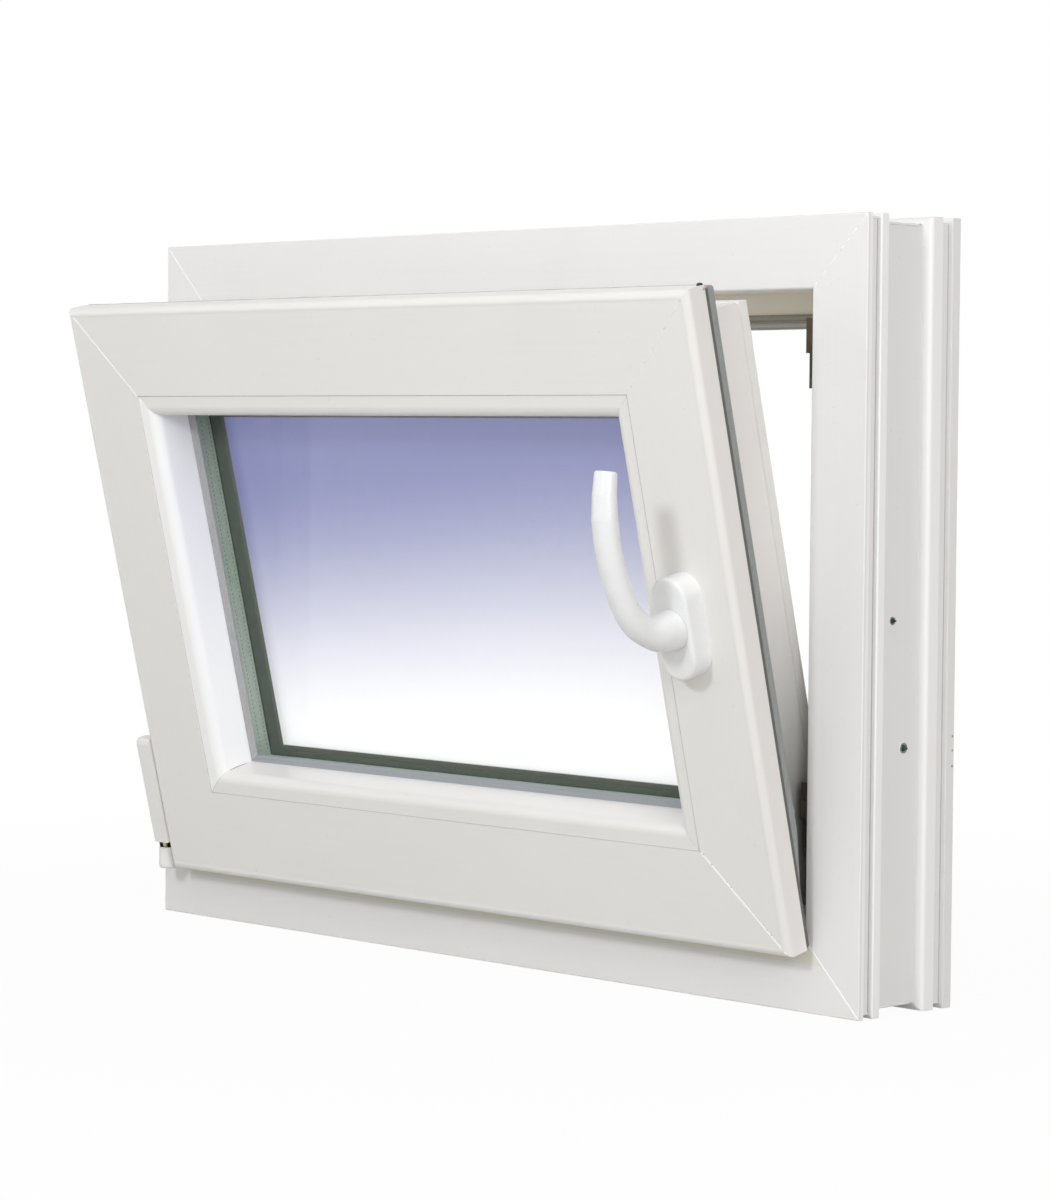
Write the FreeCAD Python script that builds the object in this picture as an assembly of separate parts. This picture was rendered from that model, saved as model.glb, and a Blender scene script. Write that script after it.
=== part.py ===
import FreeCAD, Part
import math
import os

# Tilt and turn window in uPVC, with its sash tilted into the room.
# X runs across the window, seen from the room, Y runs from the room to the outside, Z is up.
# Sections are drawn in (inward, depth): inward from the outer edge, depth from the room face.

# Driving sizes
FRAME_WIDTH = 700.0
FRAME_HEIGHT = 500.0
FRAME_DEPTH = 88.0
FRAME_FACE = 46.0
STOP_HEIGHT = 23.0
OVERLAP = 8.0
AIR_GAP = 12.0
SASH_DEPTH = 74.0
FLANGE_THICKNESS = 17.0
SASH_FACE = 64.0
TILT_ANGLE = 13.5

# Sash seals
SEAL_HEIGHT = 5.5
SEAL_CLEARANCE = 0.5
STOP_SEAL_HEIGHT = 4.0
SEAL_FOOT_WIDTH = 3.0
SEAL_FOOT_DEPTH = 3.0
FIT = 0.1

# Outer side of the frame section, as depths from the room face
LIP_WIDTH = 4.4
LIP_NOTCH_WIDTH = 8.1
LIP_NOTCH_DEPTH = 3.0
ROOM_RIB_WIDTH = 7.6
RIB_ROUNDING = 1.0
CHANNEL_DEPTH = 5.5
CHANNEL_ROUNDING = 1.5
REAR_RIB_WIDTH = 11.5
REAR_NOTCH_WIDTH = 9.5
REAR_NOTCH_DEPTH = 3.2
REAR_LIP_WIDTH = 7.9

# Drainage channel in the frame's rebate
DRAIN_STEP = 3.0
DRAIN_START = 22.0
DRAIN_SHOULDER = 4.0

# Glazing
BEAD_WIDTH = 16.6
BEAD_FLAT = 8.5
BEAD_DEPTH = 29.0
BEAD_SHOULDER = 8.3
BEAD_GAP = 0.15
BEAD_RECESS = 0.6
BEAD_HOOK = 3.0
GLAZING_SEAL = 4.0
SEAL_REACH = 4.5
PANE_THICKNESS = 4.0
SPACER_THICKNESS = 12.0
SPACER_HEIGHT = 7.0
PANE_EDGE_GAP = 5.0
OUTER_LIP_HEIGHT = 20.0
OUTER_LIP_SEAL_INSET = 5.0
OUTER_SEAL_REACH = 1.8
REAR_GROOVE_INSET = 9.0
REAR_GROOVE_WIDTH = 3.0
REAR_GROOVE_DEPTH = 1.2
REAR_GROOVE_SLOPE = 0.6

# Fittings in the sash groove
GEAR_AXIS = 14.0
SEAT_WIDTH = 19.0
SEAT_DEPTH = 3.0
GROOVE_WIDTH = 12.0
GROOVE_DEPTH = 8.0
FACEPLATE_WIDTH = 18.0
FACEPLATE_THICKNESS = 2.6
CAM_DIAMETER = 9.0
CAM_HEIGHT = 9.5
UPPER_CAM_INSET = 48.0
LOWER_CAM_INSET = 85.0
STRIKER_LENGTH = 44.0
STRIKER_WIDTH = 17.5
STRIKER_HEIGHT = 9.0
STRIKER_FRONT_HEIGHT = 5.0
STRIKER_BASE = 2.0
STRIKER_WALL = 2.5
CAM_CLEARANCE = 0.5

# Handle
HANDLE_INSET = 41.0
HANDLE_RAISE = 3.0
ROSETTE_HEIGHT = 66.0
ROSETTE_WIDTH = 30.0
ROSETTE_THICKNESS = 16.0
ROSETTE_ROUNDING = 2.5
EDGE_STEPS = 3
NECK_STRAIGHT = 5.5
NECK_RISE = 3.0
ELBOW_RADIUS = 34.0
ELBOW_SWEEP = 69.0
GRIP_RADIUS = 127.0
GRIP_SWEEP = 39.0
TIP_CHAMFER = 0.8
ELBOW_STEPS = 10
GRIP_STEPS = 6
# Lever sizes along its centre line, as (share of the length, size)
LEVER_WIDTHS = ((0.0, 26.0), (0.05, 24.5), (0.22, 19.0), (0.45, 18.0), (0.75, 18.0), (1.0, 16.0))
LEVER_THICKNESSES = ((0.0, 26.0), (0.05, 24.5), (0.2, 18.5), (0.36, 16.0), (0.75, 15.0), (1.0, 12.5))
HANDLE_GAP = 0.3
SPINDLE_SIZE = 7.0
SPINDLE_LENGTH = 38.0
SPINDLE_CLEARANCE = 0.6

# Hinges
TURN_AXIS_OFFSET = 12.0
TURN_AXIS_FRONT = 17.0
PIN_DIAMETER = 6.0
PIN_FIT = 0.15
PIN_FOOT = 5.0
BARREL_DIAMETER = 14.0
COVER_START = 20.0
COVER_LENGTH = 80.0
COVER_ROUNDING = 4.0
CUP_ROUNDING = 2.5
PIVOT_RAISE = 3.0
CUP_HEIGHT = 16.0
CUP_FLOOR = 2.5
CUP_MOUTH = 10.4
PIN_GRIP = 18.0
UPPER_BEARING_LENGTH = 58.0
UPPER_PIN_GRIP = 30.0
STAY_ARM_LENGTH = 250.0
STAY_ARM_WIDTH = 12.0
STAY_ARM_THICKNESS = 3.0
STAY_EYE = 15.0
STAY_CLEARANCE = 0.6
STUD_NECK = 8.0
STUD_BORE = 7.2
STUD_HEAD = 11.0
STUD_HEAD_THICKNESS = 2.0
FACEPLATE_END_GAP = 14.0
WEDGE_REACH = 200.0
SPACER_INSET = 4.0

# Sizes that follow
FLANGE_WIDTH = OVERLAP + AIR_GAP
MARGIN = FRAME_FACE - OVERLAP
SASH_WIDTH = FRAME_WIDTH - 2 * MARGIN
SASH_HEIGHT = FRAME_HEIGHT - 2 * MARGIN
SASH_FRONT = FLANGE_THICKNESS + SEAL_HEIGHT + SEAL_CLEARANCE
STOP_FACE = SASH_DEPTH - SASH_FRONT + STOP_SEAL_HEIGHT
STOP_TIP = FRAME_FACE + STOP_HEIGHT
ROOM_RIB_START = LIP_WIDTH + LIP_NOTCH_WIDTH
ROOM_RIB_END = ROOM_RIB_START + ROOM_RIB_WIDTH
REAR_NOTCH_END = FRAME_DEPTH - REAR_LIP_WIDTH
REAR_RIB_END = REAR_NOTCH_END - REAR_NOTCH_WIDTH
CHANNEL_END = REAR_RIB_END - REAR_RIB_WIDTH
ORIGIN_DEPTH = (ROOM_RIB_START + ROOM_RIB_END) / 2
PANE_FACE = BEAD_DEPTH + GLAZING_SEAL
UNIT_THICKNESS = 2 * PANE_THICKNESS + SPACER_THICKNESS
UNIT_BACK = PANE_FACE + UNIT_THICKNESS
LIP_FACE = UNIT_BACK + GLAZING_SEAL
GEAR_DEPTH = FLANGE_THICKNESS + GEAR_AXIS
PIVOT_HEIGHT = MARGIN + PIVOT_RAISE
HINGE_X = -SASH_WIDTH / 2 - TURN_AXIS_OFFSET

PARTS = {}


def point(inward, depth, along=0.0):
    return FreeCAD.Vector(along, depth, inward)


def outline(start, *steps):
    """Closed face in (inward, depth); a step is a point, or a pair (through, end) for an arc."""
    edges = []
    here = point(*start)
    first = here
    for step in steps:
        if isinstance(step[0], tuple):
            end = point(*step[1])
            edges.append(Part.Arc(here, point(*step[0]), end).toShape())
        else:
            end = point(*step)
            edges.append(Part.makeLine(here, end))
        here = end
    if here.distanceToPoint(first) > 1e-6:
        edges.append(Part.makeLine(here, first))
    return Part.Face(Part.Wire(edges))


def mitred(section, length, reach):
    """Section swept along X and cut at 45 degrees at both ends, its outer edge on Z = 0."""
    bar = section.translated(FreeCAD.Vector(-length / 2, 0, 0)).extrude(FreeCAD.Vector(length, 0, 0))
    corners = [
        (-length / 2, 0.0),
        (length / 2, 0.0),
        (length / 2 - reach, reach),
        (-length / 2 + reach, reach),
    ]
    front = [FreeCAD.Vector(x, -WEDGE_REACH, z) for x, z in corners]
    wedge = Part.Face(Part.makePolygon(front + front[:1])).extrude(FreeCAD.Vector(0, 2 * WEDGE_REACH, 0))
    return bar.common(wedge).removeSplitter()


def on_side(shape, side, width, height):
    """Move a piece made for the lower side to another side of a width by height frame."""
    turn = {"bottom": 0.0, "right": -90.0, "top": 180.0, "left": 90.0}[side]
    across = height if side in ("bottom", "top") else width
    shape = shape.translated(FreeCAD.Vector(0, 0, -across / 2))
    shape.rotate(FreeCAD.Vector(), FreeCAD.Vector(0, 1, 0), turn)
    return shape.translated(FreeCAD.Vector(0, 0, height / 2))


def ring(section, width, height, reach):
    """Four mitred pieces around a frame, as (side, shape)."""
    pieces = []
    for side in ("top", "bottom", "left", "right"):
        length = width if side in ("top", "bottom") else height
        pieces.append((side, on_side(mitred(section, length, reach), side, width, height)))
    return pieces


def tilted(shape):
    """Carry a piece from the sash's own frame (front at Y = 0, foot at Z = 0) to its tilted place."""
    shape = shape.translated(FreeCAD.Vector(0, -SASH_FRONT, MARGIN))
    shape.rotate(FreeCAD.Vector(0, -TURN_AXIS_FRONT, PIVOT_HEIGHT), FreeCAD.Vector(1, 0, 0), TILT_ANGLE)
    return shape


def keep(name, shape, on_sash=False):
    if on_sash:
        shape = tilted(shape)
    PARTS[name] = shape.translated(FreeCAD.Vector(0, -ORIGIN_DEPTH, 0))


def box(width, depth, height, centre):
    corner = centre - FreeCAD.Vector(width / 2, depth / 2, height / 2)
    return Part.makeBox(width, depth, height, corner)


def cylinder(diameter, length, base, direction):
    return Part.makeCylinder(diameter / 2, length, base, direction)


# Frame
def frame_section():
    fillet = 1.5
    return outline(
        (0.0, 0.8),
        ((0.23, 0.23), (0.8, 0.0)),
        (FRAME_FACE - fillet, 0.0),
        ((FRAME_FACE - 0.44, 0.44), (FRAME_FACE, fillet)),
        (FRAME_FACE, DRAIN_START),
        (FRAME_FACE - DRAIN_STEP, DRAIN_START + DRAIN_STEP),
        (FRAME_FACE - DRAIN_STEP, STOP_FACE - DRAIN_SHOULDER),
        (FRAME_FACE, STOP_FACE),
        (STOP_SEAL_AXIS - SEAL_FOOT_WIDTH / 2, STOP_FACE),
        (STOP_SEAL_AXIS - SEAL_FOOT_WIDTH / 2, STOP_FACE + SEAL_FOOT_DEPTH),
        (STOP_SEAL_AXIS + SEAL_FOOT_WIDTH / 2, STOP_FACE + SEAL_FOOT_DEPTH),
        (STOP_SEAL_AXIS + SEAL_FOOT_WIDTH / 2, STOP_FACE),
        (STOP_TIP, STOP_FACE),
        (STOP_TIP, STOP_FACE + 6.0),
        (STOP_TIP - 4.0, FRAME_DEPTH - 3.0),
        ((STOP_TIP - 5.2, FRAME_DEPTH - 0.8), (STOP_TIP - 7.5, FRAME_DEPTH)),
        (0.8, FRAME_DEPTH),
        ((0.23, FRAME_DEPTH - 0.23), (0.0, FRAME_DEPTH - 0.8)),
        (0.0, REAR_NOTCH_END),
        (REAR_NOTCH_DEPTH, REAR_NOTCH_END - 0.5),
        (REAR_NOTCH_DEPTH, REAR_RIB_END + 1.0),
        (0.0, REAR_RIB_END),
        (0.0, CHANNEL_END + 3.0),
        ((1.3, CHANNEL_END + 0.2), (CHANNEL_DEPTH, CHANNEL_END - CHANNEL_ROUNDING)),
        (CHANNEL_DEPTH, ROOM_RIB_END + CHANNEL_ROUNDING),
        ((1.2, ROOM_RIB_END + 0.4), (0.0, ROOM_RIB_END - RIB_ROUNDING)),
        (0.0, ROOM_RIB_START + RIB_ROUNDING),
        ((0.3, ROOM_RIB_START + 0.3), (RIB_ROUNDING, ROOM_RIB_START)),
        (LIP_NOTCH_DEPTH, ROOM_RIB_START - 0.4),
        (LIP_NOTCH_DEPTH, LIP_WIDTH + 0.6),
        (0.0, LIP_WIDTH),
    )


STOP_SEAL_AXIS = STOP_TIP - 5.0


def seal_foot(axis, face):
    """The seal's barb in its groove, as the points before and after the lobes."""
    half = SEAL_FOOT_WIDTH / 2 - FIT
    bottom = face + SEAL_FOOT_DEPTH - FIT
    return (axis + half, face), (axis + half, bottom), (axis - half, bottom), (axis - half, face)


def stop_seal_section():
    axis = STOP_SEAL_AXIS
    near, near_bottom, far_bottom, far = seal_foot(axis, STOP_FACE)
    tip = STOP_FACE - STOP_SEAL_HEIGHT + SEAL_CLEARANCE
    valley = STOP_FACE - STOP_SEAL_HEIGHT / 2
    return outline(
        far,
        (axis - 4.6, STOP_FACE),
        ((axis - 4.0, tip + 0.9), (axis - 2.4, tip)),
        (axis - 1.2, tip),
        (axis - 0.4, valley),
        (axis + 0.4, valley),
        (axis + 1.2, tip),
        (axis + 2.4, tip),
        ((axis + 4.1, tip + 0.9), (axis + 4.7, STOP_FACE)),
        near,
        near_bottom,
        far_bottom,
    )


def make_frame():
    names = {"top": "head", "bottom": "sill", "left": "hinge_jamb", "right": "lock_jamb"}
    reach = STOP_TIP + 1.0
    for side, shape in ring(frame_section(), FRAME_WIDTH, FRAME_HEIGHT, reach):
        if side == "bottom":
            shape = shape.cut(drain_slots())
        keep("frame_" + names[side], shape)
    seal_names = {"top": "head", "bottom": "sill", "left": "hinge_side", "right": "lock_side"}
    for side, shape in ring(stop_seal_section(), FRAME_WIDTH, FRAME_HEIGHT, reach):
        keep("stop_seal_" + seal_names[side], shape)


DRAIN_SLOT_LENGTH = 28.0
DRAIN_SLOT_HEIGHT = 5.0
DRAIN_SLOT_DEPTH = 4.0
DRAIN_SLOT_INSET = 120.0
DRAIN_SLOT_LEVEL = 24.0


def drain_slots():
    """Two water slots in the sill's outside face."""
    slots = []
    for sign in (-1, 1):
        middle = FreeCAD.Vector(sign * (FRAME_WIDTH / 2 - DRAIN_SLOT_INSET), FRAME_DEPTH, DRAIN_SLOT_LEVEL)
        slots.append(stadium(DRAIN_SLOT_LENGTH, DRAIN_SLOT_HEIGHT, 2 * DRAIN_SLOT_DEPTH, middle))
    return slots[0].fuse(slots[1])


def stadium(length, width, thickness, middle, upright=False):
    """A plate with round ends in the XZ plane, its mid-plane through the middle point."""
    half = (length - width) / 2
    radius = width / 2
    long_way = FreeCAD.Vector(0, 0, 1) if upright else FreeCAD.Vector(1, 0, 0)
    short_way = FreeCAD.Vector(1, 0, 0) if upright else FreeCAD.Vector(0, 0, 1)
    back = middle - FreeCAD.Vector(0, thickness / 2, 0)
    signs = ((-1, -1), (1, -1), (1, 1), (-1, 1))
    corners = [back + long_way * (i * half) + short_way * (j * radius) for i, j in signs]
    tips = [back + long_way * (i * (half + radius)) for i in (1, -1)]
    edges = [
        Part.makeLine(corners[0], corners[1]),
        Part.Arc(corners[1], tips[0], corners[2]).toShape(),
        Part.makeLine(corners[2], corners[3]),
        Part.Arc(corners[3], tips[1], corners[0]).toShape(),
    ]
    return Part.Face(Part.Wire(edges)).extrude(FreeCAD.Vector(0, thickness, 0))


# Sash
SASH_SEAL_AXIS = 5.5


def sash_section():
    edge = 5.0
    seat_half = SEAT_WIDTH / 2
    groove_half = GROOVE_WIDTH / 2
    hook_front = BEAD_DEPTH - 7.0
    hook_back = BEAD_DEPTH - 3.0
    groove_back = SASH_DEPTH - REAR_GROOVE_INSET
    groove_front = groove_back - REAR_GROOVE_WIDTH
    lip = SASH_FACE + OUTER_LIP_HEIGHT
    lip_axis = lip - OUTER_LIP_SEAL_INSET
    return outline(
        (0.0, edge),
        ((1.1, 1.4), (edge + 1.0, 0.0)),
        (SASH_FACE, 0.0),
        (SASH_FACE, hook_front),
        (SASH_FACE - BEAD_HOOK, hook_front),
        (SASH_FACE - BEAD_HOOK, hook_back),
        (SASH_FACE, hook_back),
        (SASH_FACE, LIP_FACE),
        (lip_axis - SEAL_FOOT_WIDTH / 2, LIP_FACE),
        (lip_axis - SEAL_FOOT_WIDTH / 2, LIP_FACE + SEAL_FOOT_DEPTH),
        (lip_axis + SEAL_FOOT_WIDTH / 2, LIP_FACE + SEAL_FOOT_DEPTH),
        (lip_axis + SEAL_FOOT_WIDTH / 2, LIP_FACE),
        (lip, LIP_FACE),
        (lip, LIP_FACE + 4.0),
        (lip - 2.5, SASH_DEPTH - 2.0),
        ((lip - 3.6, SASH_DEPTH - 0.5), (lip - 5.5, SASH_DEPTH)),
        (FLANGE_WIDTH + 4.0, SASH_DEPTH),
        ((FLANGE_WIDTH + 1.2, SASH_DEPTH - 1.2), (FLANGE_WIDTH, SASH_DEPTH - 4.0)),
        (FLANGE_WIDTH, groove_back),
        (FLANGE_WIDTH + REAR_GROOVE_DEPTH, groove_back - REAR_GROOVE_SLOPE),
        (FLANGE_WIDTH + REAR_GROOVE_DEPTH, groove_front + REAR_GROOVE_SLOPE),
        (FLANGE_WIDTH, groove_front),
        (FLANGE_WIDTH, GEAR_DEPTH + seat_half),
        (FLANGE_WIDTH + SEAT_DEPTH, GEAR_DEPTH + seat_half),
        (FLANGE_WIDTH + SEAT_DEPTH, GEAR_DEPTH + groove_half),
        (FLANGE_WIDTH + SEAT_DEPTH + GROOVE_DEPTH, GEAR_DEPTH + groove_half),
        (FLANGE_WIDTH + SEAT_DEPTH + GROOVE_DEPTH, GEAR_DEPTH - groove_half),
        (FLANGE_WIDTH + SEAT_DEPTH, GEAR_DEPTH - groove_half),
        (FLANGE_WIDTH + SEAT_DEPTH, GEAR_DEPTH - seat_half),
        (FLANGE_WIDTH, GEAR_DEPTH - seat_half),
        (FLANGE_WIDTH, FLANGE_THICKNESS),
        (SASH_SEAL_AXIS + SEAL_FOOT_WIDTH / 2, FLANGE_THICKNESS),
        (SASH_SEAL_AXIS + SEAL_FOOT_WIDTH / 2, FLANGE_THICKNESS - SEAL_FOOT_DEPTH),
        (SASH_SEAL_AXIS - SEAL_FOOT_WIDTH / 2, FLANGE_THICKNESS - SEAL_FOOT_DEPTH),
        (SASH_SEAL_AXIS - SEAL_FOOT_WIDTH / 2, FLANGE_THICKNESS),
        (0.8, FLANGE_THICKNESS),
        ((0.23, FLANGE_THICKNESS - 0.23), (0.0, FLANGE_THICKNESS - 0.8)),
    )


def sash_seal_section():
    axis = SASH_SEAL_AXIS
    half = SEAL_FOOT_WIDTH / 2 - FIT
    face = FLANGE_THICKNESS
    tip = face + SEAL_HEIGHT
    return outline(
        (axis - half, face - SEAL_FOOT_DEPTH + FIT),
        (axis + half, face - SEAL_FOOT_DEPTH + FIT),
        (axis + half, face),
        (axis + 4.5, face),
        ((axis + 3.6, tip - 1.4), (axis + 0.5, tip)),
        (axis - 1.5, tip),
        ((axis - 3.6, tip - 1.8), (axis - 4.0, face)),
        (axis - half, face),
    )


def bead_section():
    start = SASH_FACE + BEAD_GAP
    hook_front = BEAD_DEPTH - 7.0 + FIT
    hook_back = BEAD_DEPTH - 3.0 - FIT
    wide = SASH_FACE + BEAD_WIDTH
    return outline(
        (start, BEAD_RECESS + 0.5),
        ((start + 0.15, BEAD_RECESS + 0.15), (start + 0.5, BEAD_RECESS)),
        (SASH_FACE + BEAD_FLAT, BEAD_RECESS),
        ((wide - 3.0, BEAD_RECESS + 2.6), (wide - 1.0, BEAD_SHOULDER)),
        (wide, BEAD_DEPTH - 2.0),
        (wide, BEAD_DEPTH),
        (start, BEAD_DEPTH),
        (start, hook_back),
        (SASH_FACE - BEAD_HOOK + FIT, hook_back),
        (SASH_FACE - BEAD_HOOK + FIT, hook_front),
        (start, hook_front),
    )


def bead_seal_section():
    wide = SASH_FACE + BEAD_WIDTH
    return outline(
        (wide - 7.0, BEAD_DEPTH),
        (wide, BEAD_DEPTH),
        ((wide + SEAL_REACH * 0.5, BEAD_DEPTH + 1.2), (wide + SEAL_REACH, PANE_FACE - 1.0)),
        (wide + SEAL_REACH, PANE_FACE),
        (wide - 6.0, PANE_FACE),
    )


def outer_seal_section():
    lip = SASH_FACE + OUTER_LIP_HEIGHT
    axis = lip - OUTER_LIP_SEAL_INSET
    half = SEAL_FOOT_WIDTH / 2 - FIT
    bottom = LIP_FACE + SEAL_FOOT_DEPTH - FIT
    return outline(
        (axis - half, LIP_FACE),
        (axis - half, bottom),
        (axis + half, bottom),
        (axis + half, LIP_FACE),
        (lip - 0.6, LIP_FACE),
        ((lip + 0.7 * OUTER_SEAL_REACH, LIP_FACE - 0.9), (lip + OUTER_SEAL_REACH, UNIT_BACK)),
        (axis - SEAL_FOOT_WIDTH - 0.5, UNIT_BACK),
        (axis - SEAL_FOOT_WIDTH, LIP_FACE),
    )


def spacer_section():
    bottom = SASH_FACE + PANE_EDGE_GAP + SPACER_INSET
    front = PANE_FACE + PANE_THICKNESS
    back = front + SPACER_THICKNESS
    top = bottom + SPACER_HEIGHT
    return outline(
        (bottom, front),
        (top - 1.0, front),
        (top, front + 1.0),
        (top, back - 1.0),
        (top - 1.0, back),
        (bottom, back),
    )


def make_sash():
    names = {"top": "top_rail", "bottom": "bottom_rail", "left": "hinge_stile", "right": "lock_stile"}
    reach = SASH_FACE + OUTER_LIP_HEIGHT + 4.0
    for side, shape in ring(sash_section(), SASH_WIDTH, SASH_HEIGHT, reach):
        if side == "right":
            shape = shape.cut(spindle_bore())
        keep("sash_" + names[side], shape, on_sash=True)
    short = {"top": "top", "bottom": "bottom", "left": "hinge_side", "right": "lock_side"}
    for prefix, section in (
        ("sash_seal_", sash_seal_section()),
        ("glazing_bead_", bead_section()),
        ("bead_seal_", bead_seal_section()),
        ("outer_glazing_seal_", outer_seal_section()),
    ):
        for side, shape in ring(section, SASH_WIDTH, SASH_HEIGHT, reach):
            keep(prefix + short[side], shape, on_sash=True)
    bars = [shape for side, shape in ring(spacer_section(), SASH_WIDTH, SASH_HEIGHT, reach)]
    keep("glass_spacer", bars[0].fuse(bars[1:]).removeSplitter(), on_sash=True)
    inset = SASH_FACE + PANE_EDGE_GAP
    for name, front in (("inner_pane", PANE_FACE), ("outer_pane", UNIT_BACK - PANE_THICKNESS)):
        middle = FreeCAD.Vector(0, front + PANE_THICKNESS / 2, SASH_HEIGHT / 2)
        pane = box(SASH_WIDTH - 2 * inset, PANE_THICKNESS, SASH_HEIGHT - 2 * inset, middle)
        keep(name, pane, on_sash=True)


# Handle
HANDLE_X = SASH_WIDTH / 2 - HANDLE_INSET
HANDLE_Z = SASH_HEIGHT / 2 + HANDLE_RAISE


def spindle_bore():
    """Round way for the square spindle, which turns in it."""
    diameter = SPINDLE_SIZE * math.sqrt(2) + 2 * SPINDLE_CLEARANCE
    return cylinder(diameter, 2 * SPINDLE_LENGTH, FreeCAD.Vector(HANDLE_X, -SPINDLE_LENGTH, HANDLE_Z),
                    FreeCAD.Vector(0, 1, 0))


def rounded_side(radius, length, rounding):
    """Side line of a round body with its far edge rounded, as (radius, rise)."""
    line = [(radius, 0.0)]
    for i in range(EDGE_STEPS + 1):
        angle = math.radians(90.0 * i / EDGE_STEPS)
        inset = rounding * (1 - math.cos(angle))
        line.append((radius - inset, length - rounding * (1 - math.sin(angle))))
    return line


def round_ended(line, centre, axis, run, both_ends=False):
    """A side line turned about an axis and carried on along a run, with a round end at the centre."""
    side = axis.cross(run).normalize()
    right = [centre + side * radius + axis * rise for radius, rise in line]
    left = [centre - side * radius + axis * rise for radius, rise in reversed(line)]
    spine = [centre + axis * line[-1][1], centre + axis * line[0][1]]
    half = Part.Face(Part.makePolygon(right + spine + right[:1]))
    end = half.revolve(centre, axis, 360)
    body = Part.Face(Part.makePolygon(right + left + right[:1])).extrude(run).fuse(end)
    if both_ends:
        body = body.fuse(end.translated(run))
    return body.removeSplitter()


def rosette():
    """Base plate with round ends and a rounded front edge."""
    line = rounded_side(ROSETTE_WIDTH / 2, ROSETTE_THICKNESS, ROSETTE_ROUNDING)
    straight = ROSETTE_HEIGHT - ROSETTE_WIDTH
    low = FreeCAD.Vector(HANDLE_X, 0, HANDLE_Z - straight / 2)
    return round_ended(line, low, FreeCAD.Vector(0, -1, 0), FreeCAD.Vector(0, 0, straight), True)


def make_handle():
    keep("handle_rosette", rosette().cut(spindle_bore()), on_sash=True)
    keep("handle_lever", lever(), on_sash=True)
    start = -ROSETTE_THICKNESS - HANDLE_GAP
    middle = FreeCAD.Vector(HANDLE_X, start + SPINDLE_LENGTH / 2, HANDLE_Z)
    keep("handle_spindle", box(SPINDLE_SIZE, SPINDLE_LENGTH, SPINDLE_SIZE, middle), on_sash=True)


def eased(share, table):
    """Size at a share of the length, passing smoothly from one entry of the table to the next."""
    for (start, size), (end, next_size) in zip(table, table[1:]):
        if share <= end:
            part = (share - start) / (end - start)
            return size + (next_size - size) * (1 - math.cos(math.pi * part)) / 2
    return table[-1][1]


def along_arcs(distance, pieces):
    """Place (out, up) and heading in degrees after a distance on a chain of (length, sweep) pieces."""
    out, up, heading = ROSETTE_THICKNESS + HANDLE_GAP, 0.0, NECK_RISE
    for length, sweep in pieces:
        travel = min(distance, length)
        turn = sweep * travel / length
        chord = travel
        if turn > 0:
            chord = 2 * travel / math.radians(turn) * math.sin(math.radians(turn / 2))
        direction = math.radians(heading + turn / 2)
        out += chord * math.cos(direction)
        up += chord * math.sin(direction)
        heading += turn
        distance -= travel
    return out, up, heading


def lever():
    """One bowed stroke from the rosette to the tip: flared neck, elbow and a grip that leans back."""
    pieces = [
        (NECK_STRAIGHT, 0.0),
        (ELBOW_RADIUS * math.radians(ELBOW_SWEEP), ELBOW_SWEEP),
        (GRIP_RADIUS * math.radians(GRIP_SWEEP), GRIP_SWEEP),
    ]
    stations = []
    total = 0.0
    for (length, sweep), steps in zip(pieces, (1, ELBOW_STEPS, GRIP_STEPS)):
        stations += [(total + length * i / steps, 0.0) for i in range(steps)]
        total += length
    stations += [(total - TIP_CHAMFER, 0.0), (total, TIP_CHAMFER)]
    wires = []
    for distance, inset in stations:
        out, up, heading = along_arcs(distance, pieces)
        share = distance / total
        wide = eased(share, LEVER_WIDTHS) - 2 * inset
        thick = eased(share, LEVER_THICKNESSES) - 2 * inset
        square = 0.0 if distance == 0 else heading
        wires.append(ellipse_wire(FreeCAD.Vector(HANDLE_X, -out, HANDLE_Z + up), square, wide, thick))
    return Part.makeLoft(wires, True, True)


def ellipse_wire(centre, heading, wide, thick):
    """Ellipse across a path in the YZ plane: heading 0 for a path along -Y, 90 along Z."""
    a = math.radians(heading)
    normal = FreeCAD.Vector(0, -math.cos(a), math.sin(a))
    across = FreeCAD.Vector(1, 0, 0)
    if wide - thick < 1e-6:
        curve = Part.Circle(centre, normal, wide / 2)
        curve.XAxis = across
    else:
        curve = Part.Ellipse(centre + across * wide / 2, centre + normal.cross(across) * thick / 2, centre)
    return Part.Wire(curve.toShape())


# Lock side fittings
def cam_places():
    """Places of the two cams along the lock side, from its middle."""
    return LOWER_CAM_INSET - SASH_HEIGHT / 2, SASH_HEIGHT / 2 - UPPER_CAM_INSET


def faceplate(length):
    """Flat plate in the fitting seat of the lower rail, with round ends."""
    plate = Part.makeBox(length, FACEPLATE_WIDTH, FACEPLATE_THICKNESS)
    level = FLANGE_WIDTH + SEAT_DEPTH - FACEPLATE_THICKNESS
    return plate.translated(FreeCAD.Vector(-length / 2, GEAR_DEPTH - FACEPLATE_WIDTH / 2, level))


def make_fittings():
    lock_length = SASH_HEIGHT - 2 * (FLANGE_WIDTH + FACEPLATE_END_GAP)
    plate = faceplate(lock_length)
    keep("lock_faceplate", on_side(plate, "right", SASH_WIDTH, SASH_HEIGHT), on_sash=True)
    cams = []
    plate_top = FLANGE_WIDTH + SEAT_DEPTH - FACEPLATE_THICKNESS
    for along in cam_places():
        base = FreeCAD.Vector(along, GEAR_DEPTH, plate_top)
        cams.append(cylinder(CAM_DIAMETER, CAM_HEIGHT, base, FreeCAD.Vector(0, 0, -1)))
    cam_pair = Part.makeCompound(cams)
    keep("lock_cams", on_side(cam_pair, "right", SASH_WIDTH, SASH_HEIGHT), on_sash=True)
    stay_length = SASH_WIDTH - 2 * (FLANGE_WIDTH + FACEPLATE_END_GAP)
    keep("stay_faceplate", on_side(faceplate(stay_length), "top", SASH_WIDTH, SASH_HEIGHT), on_sash=True)
    make_strikers()


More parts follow.
